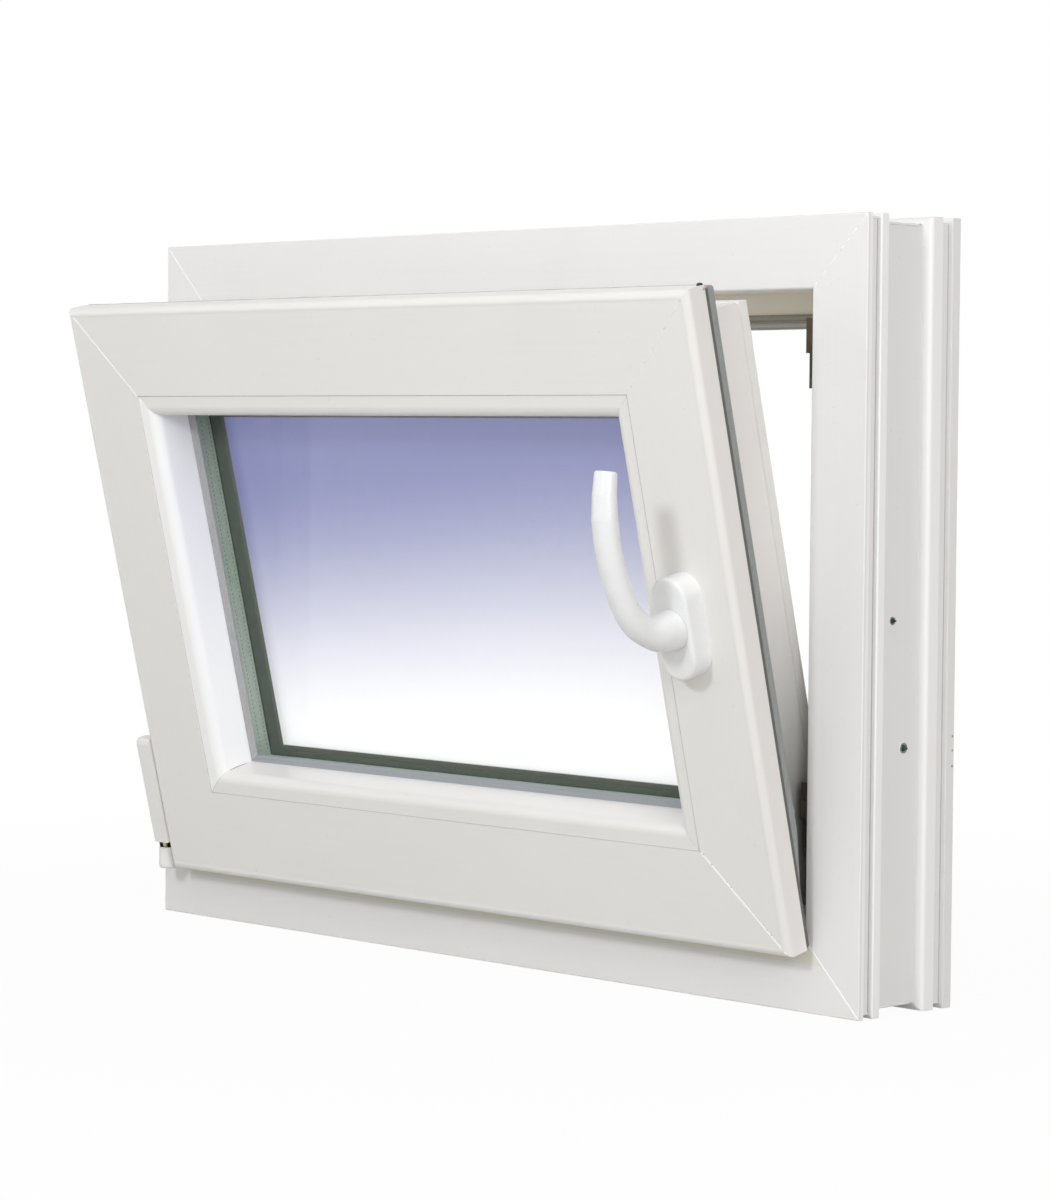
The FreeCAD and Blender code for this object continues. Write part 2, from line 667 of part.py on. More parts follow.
def make_strikers():
    """Strikers in the lock jamb's rebate: a lane for each cam, with a way in from the room."""
    lane = CAM_DIAMETER + 2 * CAM_CLEARANCE
    cam_depth = GEAR_DEPTH - SASH_FRONT
    front = cam_depth - lane / 2 - STRIKER_WALL
    blocks = []
    for along in cam_places():
        middle = FreeCAD.Vector(along, front + STRIKER_WIDTH / 2, FRAME_FACE + STRIKER_HEIGHT / 2)
        block = box(STRIKER_LENGTH, STRIKER_WIDTH, STRIKER_HEIGHT, middle)
        lane_middle = FreeCAD.Vector(along, cam_depth, FRAME_FACE + STRIKER_BASE + STRIKER_HEIGHT / 2)
        block = block.cut(box(2 * STRIKER_LENGTH, lane, STRIKER_HEIGHT, lane_middle))
        over_front = lane_middle + FreeCAD.Vector(0, -lane, STRIKER_FRONT_HEIGHT - STRIKER_BASE)
        block = block.cut(box(2 * STRIKER_LENGTH, lane, STRIKER_HEIGHT, over_front))
        way_in = lane_middle - FreeCAD.Vector(STRIKER_LENGTH / 4, lane, 0)
        block = block.cut(box(STRIKER_LENGTH / 2, 2 * lane, STRIKER_HEIGHT, way_in))
        blocks.append(block.removeSplitter())
    pair = Part.makeCompound(blocks)
    keep("lock_strikers", on_side(pair, "right", FRAME_WIDTH, FRAME_HEIGHT))


# Hinge side fittings
def sash_place(x, height, depth):
    """World place of a point given in the sash's own frame."""
    vertex = tilted(Part.Vertex(x, depth, height))
    return vertex.Point


def lower_hinge():
    """Pin under the sash cover, standing in a cup on the frame; its foot is on the tilt axis."""
    up = FreeCAD.Vector(0, 0, 1)
    ball = FreeCAD.Vector(HINGE_X, -TURN_AXIS_FRONT, PIVOT_HEIGHT)
    radius = PIN_DIAMETER / 2
    foot = PIVOT_HEIGHT - radius - CUP_FLOOR
    brim = FreeCAD.Vector(HINGE_X, -TURN_AXIS_FRONT, foot + CUP_HEIGHT)
    line = rounded_side(BARREL_DIAMETER / 2, CUP_HEIGHT, CUP_ROUNDING)
    cup = round_ended(line, brim, -up, FreeCAD.Vector(0, TURN_AXIS_FRONT, 0))
    seat_radius = radius + PIN_FIT
    seat = cylinder(2 * seat_radius, seat_radius, ball - up * seat_radius, up)
    mouth = cylinder(CUP_MOUTH, CUP_HEIGHT, ball, up)
    keep("lower_bearing", cup.cut(seat).cut(mouth))

    shank = PIN_DIAMETER * 0.75
    in_sash = FreeCAD.Vector(HINGE_X, SASH_FRONT - TURN_AXIS_FRONT, PIVOT_RAISE)
    reach = COVER_START - PIVOT_RAISE + PIN_GRIP
    pin = cylinder(shank, reach, in_sash, up)
    pin = pin.fuse(cylinder(PIN_FOOT, PIN_FOOT, in_sash - up * PIN_FOOT / 2, up))
    keep("lower_pin", pin.removeSplitter(), on_sash=True)
    line = rounded_side(BARREL_DIAMETER / 2, COVER_LENGTH, COVER_ROUNDING)
    cover_foot = in_sash + up * (COVER_START - PIVOT_RAISE)
    cover = round_ended(line, cover_foot, up, FreeCAD.Vector(TURN_AXIS_OFFSET, 0, 0))
    bore = cylinder(shank + 2 * FIT, PIN_GRIP + FIT, cover_foot, up)
    keep("lower_hinge_cover", cover.cut(bore), on_sash=True)


def upper_hinge():
    """Bearing on the frame face with an upright pin, and the stay arm out to the sash's top rail."""
    up = FreeCAD.Vector(0, 0, 1)
    rail_top = sash_place(0, SASH_HEIGHT - FLANGE_WIDTH, SASH_DEPTH).z
    arm_level = rail_top + STAY_CLEARANCE
    foot = FreeCAD.Vector(HINGE_X, -TURN_AXIS_FRONT, arm_level - FIT - UPPER_BEARING_LENGTH)
    barrel = cylinder(BARREL_DIAMETER, UPPER_BEARING_LENGTH, foot, up)
    tongue_middle = foot + FreeCAD.Vector(0, TURN_AXIS_FRONT / 2, UPPER_BEARING_LENGTH / 2)
    barrel = barrel.fuse(box(BARREL_DIAMETER * 0.7, TURN_AXIS_FRONT, UPPER_BEARING_LENGTH, tongue_middle))
    pin_length = UPPER_PIN_GRIP + STAY_ARM_THICKNESS + 2 * FIT
    pin_foot = FreeCAD.Vector(HINGE_X, -TURN_AXIS_FRONT, arm_level - FIT - UPPER_PIN_GRIP)
    bore = cylinder(PIN_DIAMETER + 2 * FIT, UPPER_PIN_GRIP + 1.0, pin_foot, up)
    keep("upper_bearing", barrel.removeSplitter().cut(bore))
    head = cylinder(PIN_DIAMETER * 1.5, 2.0, pin_foot + up * pin_length, up)
    keep("upper_pin", cylinder(PIN_DIAMETER, pin_length, pin_foot, up).fuse(head).removeSplitter())

    plate_top = SASH_HEIGHT - FLANGE_WIDTH - SEAT_DEPTH + FACEPLATE_THICKNESS
    near = FreeCAD.Vector(HINGE_X, -TURN_AXIS_FRONT, arm_level)
    middle_level = arm_level + STAY_ARM_THICKNESS / 2
    column = sash_place(0, plate_top, GEAR_DEPTH)
    lean = math.radians(TILT_ANGLE)
    stud_rise = (middle_level - column.z) / math.cos(lean)
    stud_y = column.y - stud_rise * math.sin(lean)
    across = stud_y + TURN_AXIS_FRONT
    far = FreeCAD.Vector(HINGE_X + math.sqrt(STAY_ARM_LENGTH ** 2 - across ** 2), stud_y, arm_level)
    keep("stay_arm", stay_arm(near, far))

    foot = FreeCAD.Vector(far.x, GEAR_DEPTH, plate_top)
    slant = (STAY_ARM_THICKNESS / 2 + STUD_HEAD / 2 * math.sin(lean)) / math.cos(lean) + FIT
    stud = cylinder(PIN_DIAMETER, stud_rise + slant, foot, up)
    collar_height = stud_rise - slant
    stud = stud.fuse(cylinder(STUD_NECK, collar_height, foot, up))
    head = cylinder(STUD_HEAD, STUD_HEAD_THICKNESS, foot + up * (stud_rise + slant), up)
    keep("stay_stud", stud.fuse(head).removeSplitter(), on_sash=True)


def stay_arm(near, far):
    """Flat bar with round eyes at both ends."""
    up = FreeCAD.Vector(0, 0, 1)
    along = (far - near).normalize()
    side = up.cross(along)
    half = STAY_ARM_WIDTH / 2
    ring_points = [near + side * half, far + side * half, far - side * half, near - side * half]
    bar = Part.Face(Part.makePolygon(ring_points + ring_points[:1])).extrude(up * STAY_ARM_THICKNESS)
    for end in (near, far):
        bar = bar.fuse(cylinder(STAY_EYE, STAY_ARM_THICKNESS, end, up))
    bar = bar.cut(cylinder(PIN_DIAMETER + 2 * FIT, STAY_ARM_THICKNESS, near, up))
    return bar.cut(cylinder(STUD_BORE, STAY_ARM_THICKNESS, far, up)).removeSplitter()


make_frame()
make_sash()
make_handle()
make_fittings()
lower_hinge()
upper_hinge()

os.makedirs("parts", exist_ok=True)
for name, shape in PARTS.items():
    shape.exportStep("parts/" + name + ".step")
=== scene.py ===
import math
import random

import bmesh
import bpy
from mathutils import Matrix, Vector


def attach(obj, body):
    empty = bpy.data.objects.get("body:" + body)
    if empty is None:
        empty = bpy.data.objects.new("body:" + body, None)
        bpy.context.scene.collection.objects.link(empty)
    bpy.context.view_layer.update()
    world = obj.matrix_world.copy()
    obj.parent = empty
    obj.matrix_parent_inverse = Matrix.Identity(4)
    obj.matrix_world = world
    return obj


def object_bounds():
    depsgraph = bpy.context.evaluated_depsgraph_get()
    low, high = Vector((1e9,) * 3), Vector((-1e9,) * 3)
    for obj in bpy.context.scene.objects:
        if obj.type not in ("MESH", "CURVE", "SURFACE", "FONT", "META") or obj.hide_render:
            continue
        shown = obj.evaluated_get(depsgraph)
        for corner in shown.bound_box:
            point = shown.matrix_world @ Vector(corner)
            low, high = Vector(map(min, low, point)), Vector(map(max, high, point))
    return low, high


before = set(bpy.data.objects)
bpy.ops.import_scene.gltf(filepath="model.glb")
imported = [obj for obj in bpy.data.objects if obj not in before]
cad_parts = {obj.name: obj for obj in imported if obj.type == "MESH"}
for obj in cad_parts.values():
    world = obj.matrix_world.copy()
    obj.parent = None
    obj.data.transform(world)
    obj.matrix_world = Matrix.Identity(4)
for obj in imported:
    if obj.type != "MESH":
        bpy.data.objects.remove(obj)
cad_low, cad_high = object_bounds()

# Sizes from the part's source, in metres. Depths count from the frame's or the sash's own front.
FRAME_WIDTH = 0.700
FRAME_HEIGHT = 0.500
FRAME_FACE = 0.046
ORIGIN_DEPTH = 0.0163
CHANNEL_FLOOR = 0.0055
CHANNEL_DEPTHS = (0.0225, 0.0555)
NOTCH_FLOOR = 0.0030
NOTCH_DEPTHS = (0.0052, 0.0118)
REAR_NOTCH_FLOOR = 0.0032
MARGIN = 0.038
SASH_WIDTH = FRAME_WIDTH - 2 * MARGIN
SASH_HEIGHT = FRAME_HEIGHT - 2 * MARGIN
SASH_FRONT = 0.023
SASH_DEPTH = 0.074
SASH_FACE = 0.064
OUTER_STEP = 0.018
FLANGE_WIDTH = 0.020
FLANGE_THICKNESS = 0.017
BEAD_RECESS = 0.0006
TILT = math.radians(13.5)
PIVOT_Y = -0.017
PIVOT_Z = MARGIN + 0.003
GEAR_DEPTH = 0.031
SEAT_DEPTH = 0.003
FACEPLATE_THICKNESS = 0.0026
SPACER_EDGE = 0.080
HINGE_X = -SASH_WIDTH / 2 - 0.012
HINGE_DEPTH = SASH_FRONT + PIVOT_Y
COVER_FOOT = 0.020
COVER_LENGTH = 0.080
BARREL_RADIUS = 0.0070

# Camera, fitted to the picture's corners
CAMERA_PLACE = Vector((1.87575, -1.72113 - ORIGIN_DEPTH, 0.36131))
CAMERA_RIGHT = Vector((0.684650, 0.728822, 0.008530))
CAMERA_UP = Vector((-0.038138, 0.024134, 0.998981))
CAMERA_BACK = Vector((0.727873, -0.684278, 0.044319))
CAMERA_LENS = 111.504
CAMERA_SENSOR = 36.0
TOWARDS_VIEW = math.atan2(CAMERA_BACK.y, CAMERA_BACK.x)


def make_camera():
    data = bpy.data.cameras.new("camera")
    data.sensor_width = CAMERA_SENSOR
    data.lens = CAMERA_LENS
    camera = bpy.data.objects.new("camera", data)
    turn = Matrix((CAMERA_RIGHT, CAMERA_UP, CAMERA_BACK)).transposed().to_4x4()
    camera.matrix_world = Matrix.Translation(CAMERA_PLACE) @ turn
    bpy.context.scene.collection.objects.link(camera)
    bpy.context.scene.camera = camera


def sash_matrix():
    """From the sash's own frame (front at y = 0, foot at z = 0) to its tilted place."""
    lift = Matrix.Translation((0, -SASH_FRONT - PIVOT_Y, MARGIN - PIVOT_Z))
    back = Matrix.Translation((0, PIVOT_Y - ORIGIN_DEPTH, PIVOT_Z))
    return back @ Matrix.Rotation(TILT, 4, "X") @ lift


SASH = sash_matrix()
SASH_TURN = SASH.to_3x3()
SASH_INWARD = SASH_TURN @ Vector((0, 1, 0))
FRAME = Matrix.Translation((0, -ORIGIN_DEPTH, 0))


# Materials
ALONG_X, ALONG_Y, ALONG_Z = 0, 1, 2
SOFT_EDGE = 0.0006


class Nodes:
    """Short way to build a node tree."""

    def __init__(self, name):
        self.material = bpy.data.materials.new(name)
        self.material.use_nodes = True
        self.tree = self.material.node_tree
        self.shader = self.tree.nodes["Principled BSDF"]
        self.output = self.tree.nodes["Material Output"]

    def add(self, kind, **settings):
        node = self.tree.nodes.new("ShaderNode" + kind)
        for key, value in settings.items():
            setattr(node, key, value)
        return node

    def link(self, start, end):
        self.tree.links.new(start, end)

    def fix(self, name, value):
        """Sets one of the shader's own values."""
        self.shader.inputs[name].default_value = value

    def place(self, scale=(1, 1, 1)):
        """Object coordinates, scaled."""
        coordinates = self.add("TexCoord")
        mapping = self.add("Mapping")
        mapping.inputs["Scale"].default_value = scale
        self.link(coordinates.outputs["Object"], mapping.inputs["Vector"])
        return mapping.outputs["Vector"]

    def split(self):
        """Object coordinates, whole and in their three parts."""
        place = self.place()
        parts = self.add("SeparateXYZ")
        self.link(place, parts.inputs["Vector"])
        return place, parts.outputs

    def noise(self, scale, detail=3.0, stretch=(1, 1, 1), roughness=0.5):
        node = self.add("TexNoise")
        node.inputs["Scale"].default_value = scale
        node.inputs["Detail"].default_value = detail
        node.inputs["Roughness"].default_value = roughness
        self.link(self.place(stretch), node.inputs["Vector"])
        return node.outputs["Fac"]

    def ramp(self, value, stops):
        node = self.add("ValToRGB")
        points = node.color_ramp.elements
        while len(points) < len(stops):
            points.new(0.5)
        for element, (position, colour) in zip(points, stops):
            element.position = position
            element.color = (*colour, 1.0)
        self.link(value, node.inputs["Fac"])
        return node.outputs["Color"]

    def span(self, value, low, high, start=0.0, end=1.0, smooth=False):
        """Runs from low to high while the value runs from start to end."""
        node = self.add("MapRange")
        if smooth:
            node.interpolation_type = "SMOOTHSTEP"
        node.inputs["From Min"].default_value = start
        node.inputs["From Max"].default_value = end
        node.inputs["To Min"].default_value = low
        node.inputs["To Max"].default_value = high
        self.link(value, node.inputs["Value"])
        return node.outputs["Result"]

    def between(self, value, low, high):
        """1 between two values, 0 outside them, with a soft change."""
        above = self.span(value, 0.0, 1.0, low - SOFT_EDGE, low + SOFT_EDGE)
        return self.product(above, self.span(value, 1.0, 0.0, high - SOFT_EDGE, high + SOFT_EDGE))

    def maths(self, operation, first, second):
        node = self.add("Math", operation=operation)
        for socket, value in zip(node.inputs, (first, second)):
            if isinstance(value, (int, float)):
                socket.default_value = value
            else:
                self.link(value, socket)
        return node.outputs["Value"]

    def product(self, first, second):
        return self.maths("MULTIPLY", first, second)

    def blend(self, first, share, second):
        """A share of the first value and the rest of the second."""
        return self.maths("ADD", self.product(first, share), self.product(second, 1.0 - share))

    def mix(self, factor, first, second):
        """Blend of two colours."""
        node = self.add("Mix", data_type="RGBA")
        for place, value in ((0, factor), (6, first), (7, second)):
            if isinstance(value, tuple):
                node.inputs[place].default_value = (*value, 1.0)
            else:
                self.link(value, node.inputs[place])
        return node.outputs[2]

    def bump(self, height, strength, distance):
        node = self.add("Bump")
        node.inputs["Strength"].default_value = strength
        node.inputs["Distance"].default_value = distance
        self.link(height, node.inputs["Height"])
        self.link(node.outputs["Normal"], self.shader.inputs["Normal"])

    def colour(self, value):
        self.link(value, self.shader.inputs["Base Color"])

    def rough(self, value):
        self.link(value, self.shader.inputs["Roughness"])


def shade(colour, factor):
    return tuple(min(1.0, channel * factor) for channel in colour)


SPECK_SHADE = 0.62
SPECK_SHARE = 0.22
SPOT_COLOUR = (0.12, 0.11, 0.10)


def extruded_plastic(name, colour, along, roughness=0.34, zones=(), painted_shade=None, spots=()):
    """White extruded plastic: fine die lines along the bar, soft patches and a satin skin.

    zones are (colour, (axis, low, high), (axis, low, high)) of another tone between two pairs of
    places, here painted light and shade. painted_shade is painted shade on the sash's side, darker towards
    the bottom: (colour, share, place of the sash's side face, depth behind the sash's front, (height of
    full, height of none)). spots are (place, radius) of small dark marks.
    """
    m = Nodes(name)
    long_way = tuple(0.02 if axis == along else 1.0 for axis in range(3))
    lines = m.noise(520.0, stretch=long_way, roughness=0.6)
    patches = m.noise(9.0)
    grain = m.noise(1900.0, detail=2.0)
    paint = m.ramp(m.blend(lines, 0.4, patches), (
        (0.30, shade(colour, 0.978)),
        (0.52, colour),
        (0.75, shade(colour, 1.008)),
    ))
    specks = m.noise(330.0, detail=1.0)
    paint = m.mix(m.span(specks, 0.0, SPECK_SHARE, 0.755, 0.80), paint, shade(colour, SPECK_SHADE))
    if zones or painted_shade or spots:
        place, parts = m.split()
    for tone, *limits in zones:
        inside = [m.between(parts[axis], low, high) for axis, low, high in limits]
        paint = m.mix(m.product(*inside), paint, tone)
    # Painted shade on the sash's side in the rebate, darker towards the bottom
    if painted_shade:
        tone, most, face, start, (full, none) = painted_shade
        reach = m.add("VectorMath", operation="DOT_PRODUCT")
        m.link(place, reach.inputs[0])
        reach.inputs[1].default_value = SASH_INWARD
        depth = m.maths("SUBTRACT", reach.outputs["Value"], SASH_INWARD.dot(SASH.translation))
        side = m.product(m.span(depth, 0.0, 1.0, start - SOFT_EDGE, start + SOFT_EDGE),
                         m.between(parts["X"], face - 0.003, face + 0.0015))
        share = m.span(parts["Z"], most, 0.0, full, none, smooth=True)
        paint = m.mix(m.product(side, share), paint, tone)
    for centre, radius in spots:
        reach = m.add("VectorMath", operation="DISTANCE")
        m.link(place, reach.inputs[0])
        reach.inputs[1].default_value = centre
        cover = m.span(reach.outputs["Value"], 0.8, 0.0, radius * 0.7, radius)
        paint = m.mix(cover, paint, SPOT_COLOUR)
    skin = m.blend(lines, 0.5, grain)
    m.colour(paint)
    m.rough(m.span(skin, roughness - 0.025, roughness + 0.035, 0.3, 0.7))
    m.bump(skin, 0.05, 0.00008)
    m.fix("Specular IOR Level", 0.42)
    return m.material


def rubber(name, colour, along, roughness=0.62):
    """Soft extruded seal: matt skin with fine lines along it."""
    m = Nodes(name)
    long_way = tuple(0.5 if axis == along else 260.0 for axis in range(3))
    lines = m.noise(5.0, stretch=long_way)
    dust_and_shade = m.noise(900.0)
    tone = m.blend(lines, 0.6, dust_and_shade)
    m.colour(m.ramp(tone, ((0.3, shade(colour, 0.82)), (0.5, colour), (0.72, shade(colour, 1.2)))))
    m.rough(m.span(dust_and_shade, roughness - 0.08, roughness + 0.12, 0.3, 0.7))
    m.bump(m.maths("ADD", lines, m.product(dust_and_shade, 0.2)), 0.2, 0.0003)
    m.fix("Specular IOR Level", 0.35)
    return m.material


def coated_metal(name, colour, roughness=0.30):
    """Powder-coated metal: very fine orange peel over a smooth casting."""
    m = Nodes(name)
    peel = m.noise(850.0, detail=2.0)
    patches = m.noise(18.0, detail=2.0)
    m.colour(m.ramp(patches, ((0.3, shade(colour, 0.975)), (0.55, colour), (0.8, shade(colour, 1.01)))))
    m.rough(m.span(peel, roughness - 0.04, roughness + 0.06, 0.3, 0.7))
    m.bump(peel, 0.06, 0.0002)
    m.fix("Coat Weight", 0.15)
    m.fix("Coat Roughness", 0.2)
    return m.material


def plated_steel(name, colour, clouding=(0.66, 0.64, 0.55)):
    """Zinc-plated steel: bright, with fine rolling lines and cloudy plating."""
    m = Nodes(name)
    clouds = m.noise(60.0, detail=4.0)
    lines = m.noise(9.0, stretch=(1.0, 160.0, 40.0))
    m.colour(m.mix(m.span(clouds, 0.0, 0.55, 0.35, 0.75), colour, clouding))
    m.rough(m.span(lines, 0.24, 0.48, 0.3, 0.7))
    m.bump(lines, 0.12, 0.0002)
    m.fix("Metallic", 0.9)
    return m.material


def glass_spacer_metal(name):
    """Mill aluminium spacer seen through the panes: green-grey and finely speckled."""
    m = Nodes(name)
    grain = m.noise(700.0)
    band = m.noise(14.0, detail=2.0)
    base = m.mix(m.span(band, 0.0, 1.0, 0.35, 0.7), (0.40, 0.52, 0.41), (0.50, 0.59, 0.52))
    m.colour(m.mix(m.span(grain, 0.0, 0.6, 0.45, 0.75), base, (0.66, 0.73, 0.67)))
    m.rough(m.span(grain, 0.38, 0.6, 0.3, 0.7))
    m.bump(grain, 0.25, 0.0003)
    m.fix("Metallic", 0.25)
    return m.material


# The sky's reflection in the outer pane; its level is the height less the lean
SKY_LEAN = 0.09
SKY_FOOT = 0.139
SKY_TOP = 0.352
SKY_COLOUR = (0.146, 0.157, 0.305)
SKY_WHITE = (0.635, 0.635, 0.64)
SKY_GLOW = 0.80
PANE_COVER = 0.80
INNER_COVER = 0.02

# The spacer's mirror image in the outer pane, as distances from the sash's edge
MIRROR_END = 0.0958
MIRROR_FOOT = 0.0885
MIRROR_TOP = 0.0905
MIRROR_DARK = (0.080, 0.100, 0.078)
MIRROR_LIGHT = (0.135, 0.145, 0.115)
PANE_RISE = 0.0481
UNIT_EDGE = 0.072
MIRROR_BLUR = 0.0004


def clear_glass(name):
    """Float glass with faint smears."""
    m = Nodes(name)
    smears = m.noise(24.0, detail=4.0, roughness=0.6)
    m.rough(m.span(smears, 0.01, 0.05, 0.4, 0.8))
    m.fix("IOR", 1.5)
    return m, smears


def inner_glass():
    m, smears = clear_glass("inner_glass")
    m.colour(m.ramp(smears, ((0.3, (0.90, 0.95, 0.92)), (0.7, (0.94, 0.97, 0.95)))))
    m.fix("Alpha", INNER_COVER)
    return m.material


def outer_glass():
    """The outer pane also carries the sky's reflection and the spacer's mirror image."""
    m, _ = clear_glass("outer_glass")
    _, parts = m.split()
    level = m.maths("SUBTRACT", parts["Z"], m.product(parts["X"], SKY_LEAN))
    sky = m.mix(m.span(level, 0.0, 1.0, SKY_FOOT, SKY_TOP, smooth=True), SKY_WHITE, SKY_COLOUR)
    upright = m.product(m.maths("SUBTRACT", parts["Z"], PANE_RISE), 1.0 / math.cos(TILT))
    side = m.maths("SUBTRACT", SASH_WIDTH / 2, m.maths("ABSOLUTE", parts["X"], 0))
    foot = m.maths("ADD", upright, MIRROR_END - MIRROR_FOOT)
    top = m.maths("SUBTRACT", SASH_HEIGHT + MIRROR_END - MIRROR_TOP, upright)
    edge = m.maths("MINIMUM", side, m.maths("MINIMUM", foot, top))
    clear = m.span(edge, 0.0, 1.0, MIRROR_END - MIRROR_BLUR, MIRROR_END + MIRROR_BLUR)
    light = m.span(edge, 0.0, 1.0, MIRROR_END - 0.006, MIRROR_END - 0.002)
    m.colour(m.mix(clear, m.mix(light, MIRROR_DARK, MIRROR_LIGHT), sky))
    m.link(m.mix(clear, (0.0, 0.0, 0.0), sky), m.shader.inputs["Emission Color"])
    m.fix("Emission Strength", SKY_GLOW)
    m.link(m.span(edge, 0.0, PANE_COVER, UNIT_EDGE, UNIT_EDGE + MIRROR_BLUR), m.shader.inputs["Alpha"])
    return m.material


WHITE = (0.815, 0.805, 0.80)
SASH_WHITE = (0.81, 0.79, 0.77)
HINGE_BEAD_LIT_WHITE = (0.93, 0.93, 0.935)
WARM_BOUNCE_CREAM = (0.98, 0.94, 0.80)
SILL_SHADOW_BEIGE = (0.76, 0.745, 0.66)
RIB_HIGHLIGHT_WHITE = (0.93, 0.925, 0.925)
REBATE_SHADE_DARK = (0.15, 0.155, 0.145)
OUTER_SEAL = (0.085, 0.105, 0.09)

# Zones of another tone, in the object's own frame, all painted light and shade: painted warm bounce
# light on the reveal under the head, a painted shadow on the band of the sill under the sash, and a
# painted highlight on the lock jamb's outermost ribs, lighter where they catch the light
HEAD_UNDERSIDE = FRAME_HEIGHT - FRAME_FACE
# Painted warm bounce light: the reveal under the head is tinted cream where it lies in warm reflected light
REVEAL_PAINTED_BOUNCE_LIGHT = (WARM_BOUNCE_CREAM, ("Z", HEAD_UNDERSIDE - 0.0245, HEAD_UNDERSIDE + 0.005),
                   ("Y", 0.0018 - ORIGIN_DEPTH, 0.0600 - ORIGIN_DEPTH))
# Painted shadow: the sill's band under the sash is beige-grey where the sash casts its shadow
SILL_PAINTED_SHADOW = (SILL_SHADOW_BEIGE, ("Z", 0.0305, 0.0440), ("Y", -0.0180, -0.0150))
# Painted highlight: the lock jamb's outermost faces are made lighter where they catch more light than the
# channel
RIBS_PAINTED_HIGHLIGHT = (RIB_HIGHLIGHT_WHITE, ("X", FRAME_WIDTH / 2 - 0.0012, FRAME_WIDTH / 2 + 0.0012),
               ("Y", -0.0145, 0.0560))

# Painted shade on the side of the sash that sits in the rebate when it is shut, darker towards the bottom
REBATE_PAINTED_SHADE = (REBATE_SHADE_DARK, 0.95, SASH_WIDTH / 2 - FLANGE_WIDTH, FLANGE_THICKNESS + 0.001, (0.060, 0.31))

# Marks on the lock jamb's rear rib, in the object's own frame
JAMB_SPOTS = (
    ((0.350, 0.0697, 0.173), 0.0009),
    ((0.350, 0.0697, 0.164), 0.0008),
    ((0.350, 0.0697, 0.154), 0.0010),
)


def plastic_nodes():
    """Materials of the frame, the sash and the beads, by node."""
    sash_x = extruded_plastic("sash_plastic_level", SASH_WHITE, ALONG_X)
    bead_x = extruded_plastic("bead_plastic_level", SASH_WHITE, ALONG_X, roughness=0.32)
    return {
        "frame_hinge_jamb": extruded_plastic("frame_plastic_upright", WHITE, ALONG_Z),
        "frame_head": extruded_plastic("frame_plastic_head", WHITE, ALONG_X, zones=(REVEAL_PAINTED_BOUNCE_LIGHT,)),
        "frame_sill": extruded_plastic("frame_plastic_sill", WHITE, ALONG_X, zones=(SILL_PAINTED_SHADOW,)),
        "frame_lock_jamb": extruded_plastic("frame_plastic_lock_jamb", WHITE, ALONG_Z,
                                            zones=(RIBS_PAINTED_HIGHLIGHT,), spots=JAMB_SPOTS),
        "sash_top_rail": sash_x,
        "sash_bottom_rail": sash_x,
        "sash_hinge_stile": extruded_plastic("sash_plastic_upright", SASH_WHITE, ALONG_Z),
        # The lock stile carries painted shade on its side in the rebate
        "sash_lock_stile": extruded_plastic("sash_plastic_lock_stile", SASH_WHITE, ALONG_Z,
                                            painted_shade=REBATE_PAINTED_SHADE),
        "glazing_bead_top": bead_x,
        "glazing_bead_bottom": bead_x,
        "glazing_bead_lock_side": extruded_plastic("bead_plastic_upright", SASH_WHITE, ALONG_Z,
                                                   roughness=0.28),
        # Painted light: the hinge side's bead is lighter than the others where the light from the right falls
        # on its slope
        "glazing_bead_hinge_side": extruded_plastic("bead_plastic_hinge_side_lit", HINGE_BEAD_LIT_WHITE, ALONG_Z,
                                                    roughness=0.52),
    }


def seal_nodes():
    """Materials of the seals, by node."""
    seal_x = rubber("seal_level", (0.22, 0.225, 0.20), ALONG_X)
    seal_z = rubber("seal_upright", (0.24, 0.245, 0.22), ALONG_Z)
    glazing_x = rubber("glazing_seal_level", (0.30, 0.32, 0.34), ALONG_X, roughness=0.5)
    glazing_z = rubber("glazing_seal_upright", (0.38, 0.38, 0.385), ALONG_Z, roughness=0.5)
    outer_x = rubber("outer_seal_level", OUTER_SEAL, ALONG_X)
    outer_z = rubber("outer_seal_upright", OUTER_SEAL, ALONG_Z)
    nodes = {
        "stop_seal_head": rubber("stop_seal_top", (0.33, 0.32, 0.275), ALONG_X),
        "stop_seal_sill": seal_x,
        "stop_seal_hinge_side": seal_z,
        # Painted shade: the lock side's stop seal is made near black for the deep shade in the rebate
        "stop_seal_lock_side": rubber("stop_seal_painted_shade", (0.035, 0.045, 0.040), ALONG_Z),
        "sash_seal_top": seal_x,
        "sash_seal_bottom": seal_x,
        "sash_seal_hinge_side": seal_z,
        "sash_seal_lock_side": rubber("sash_seal_dark", (0.13, 0.135, 0.125), ALONG_Z),
    }
    for sides, inner, outer in ((("top", "bottom"), glazing_x, outer_x),
                                (("hinge_side", "lock_side"), glazing_z, outer_z)):
        for side in sides:
            nodes["bead_seal_" + side] = inner
            nodes["outer_glazing_seal_" + side] = outer
    return nodes


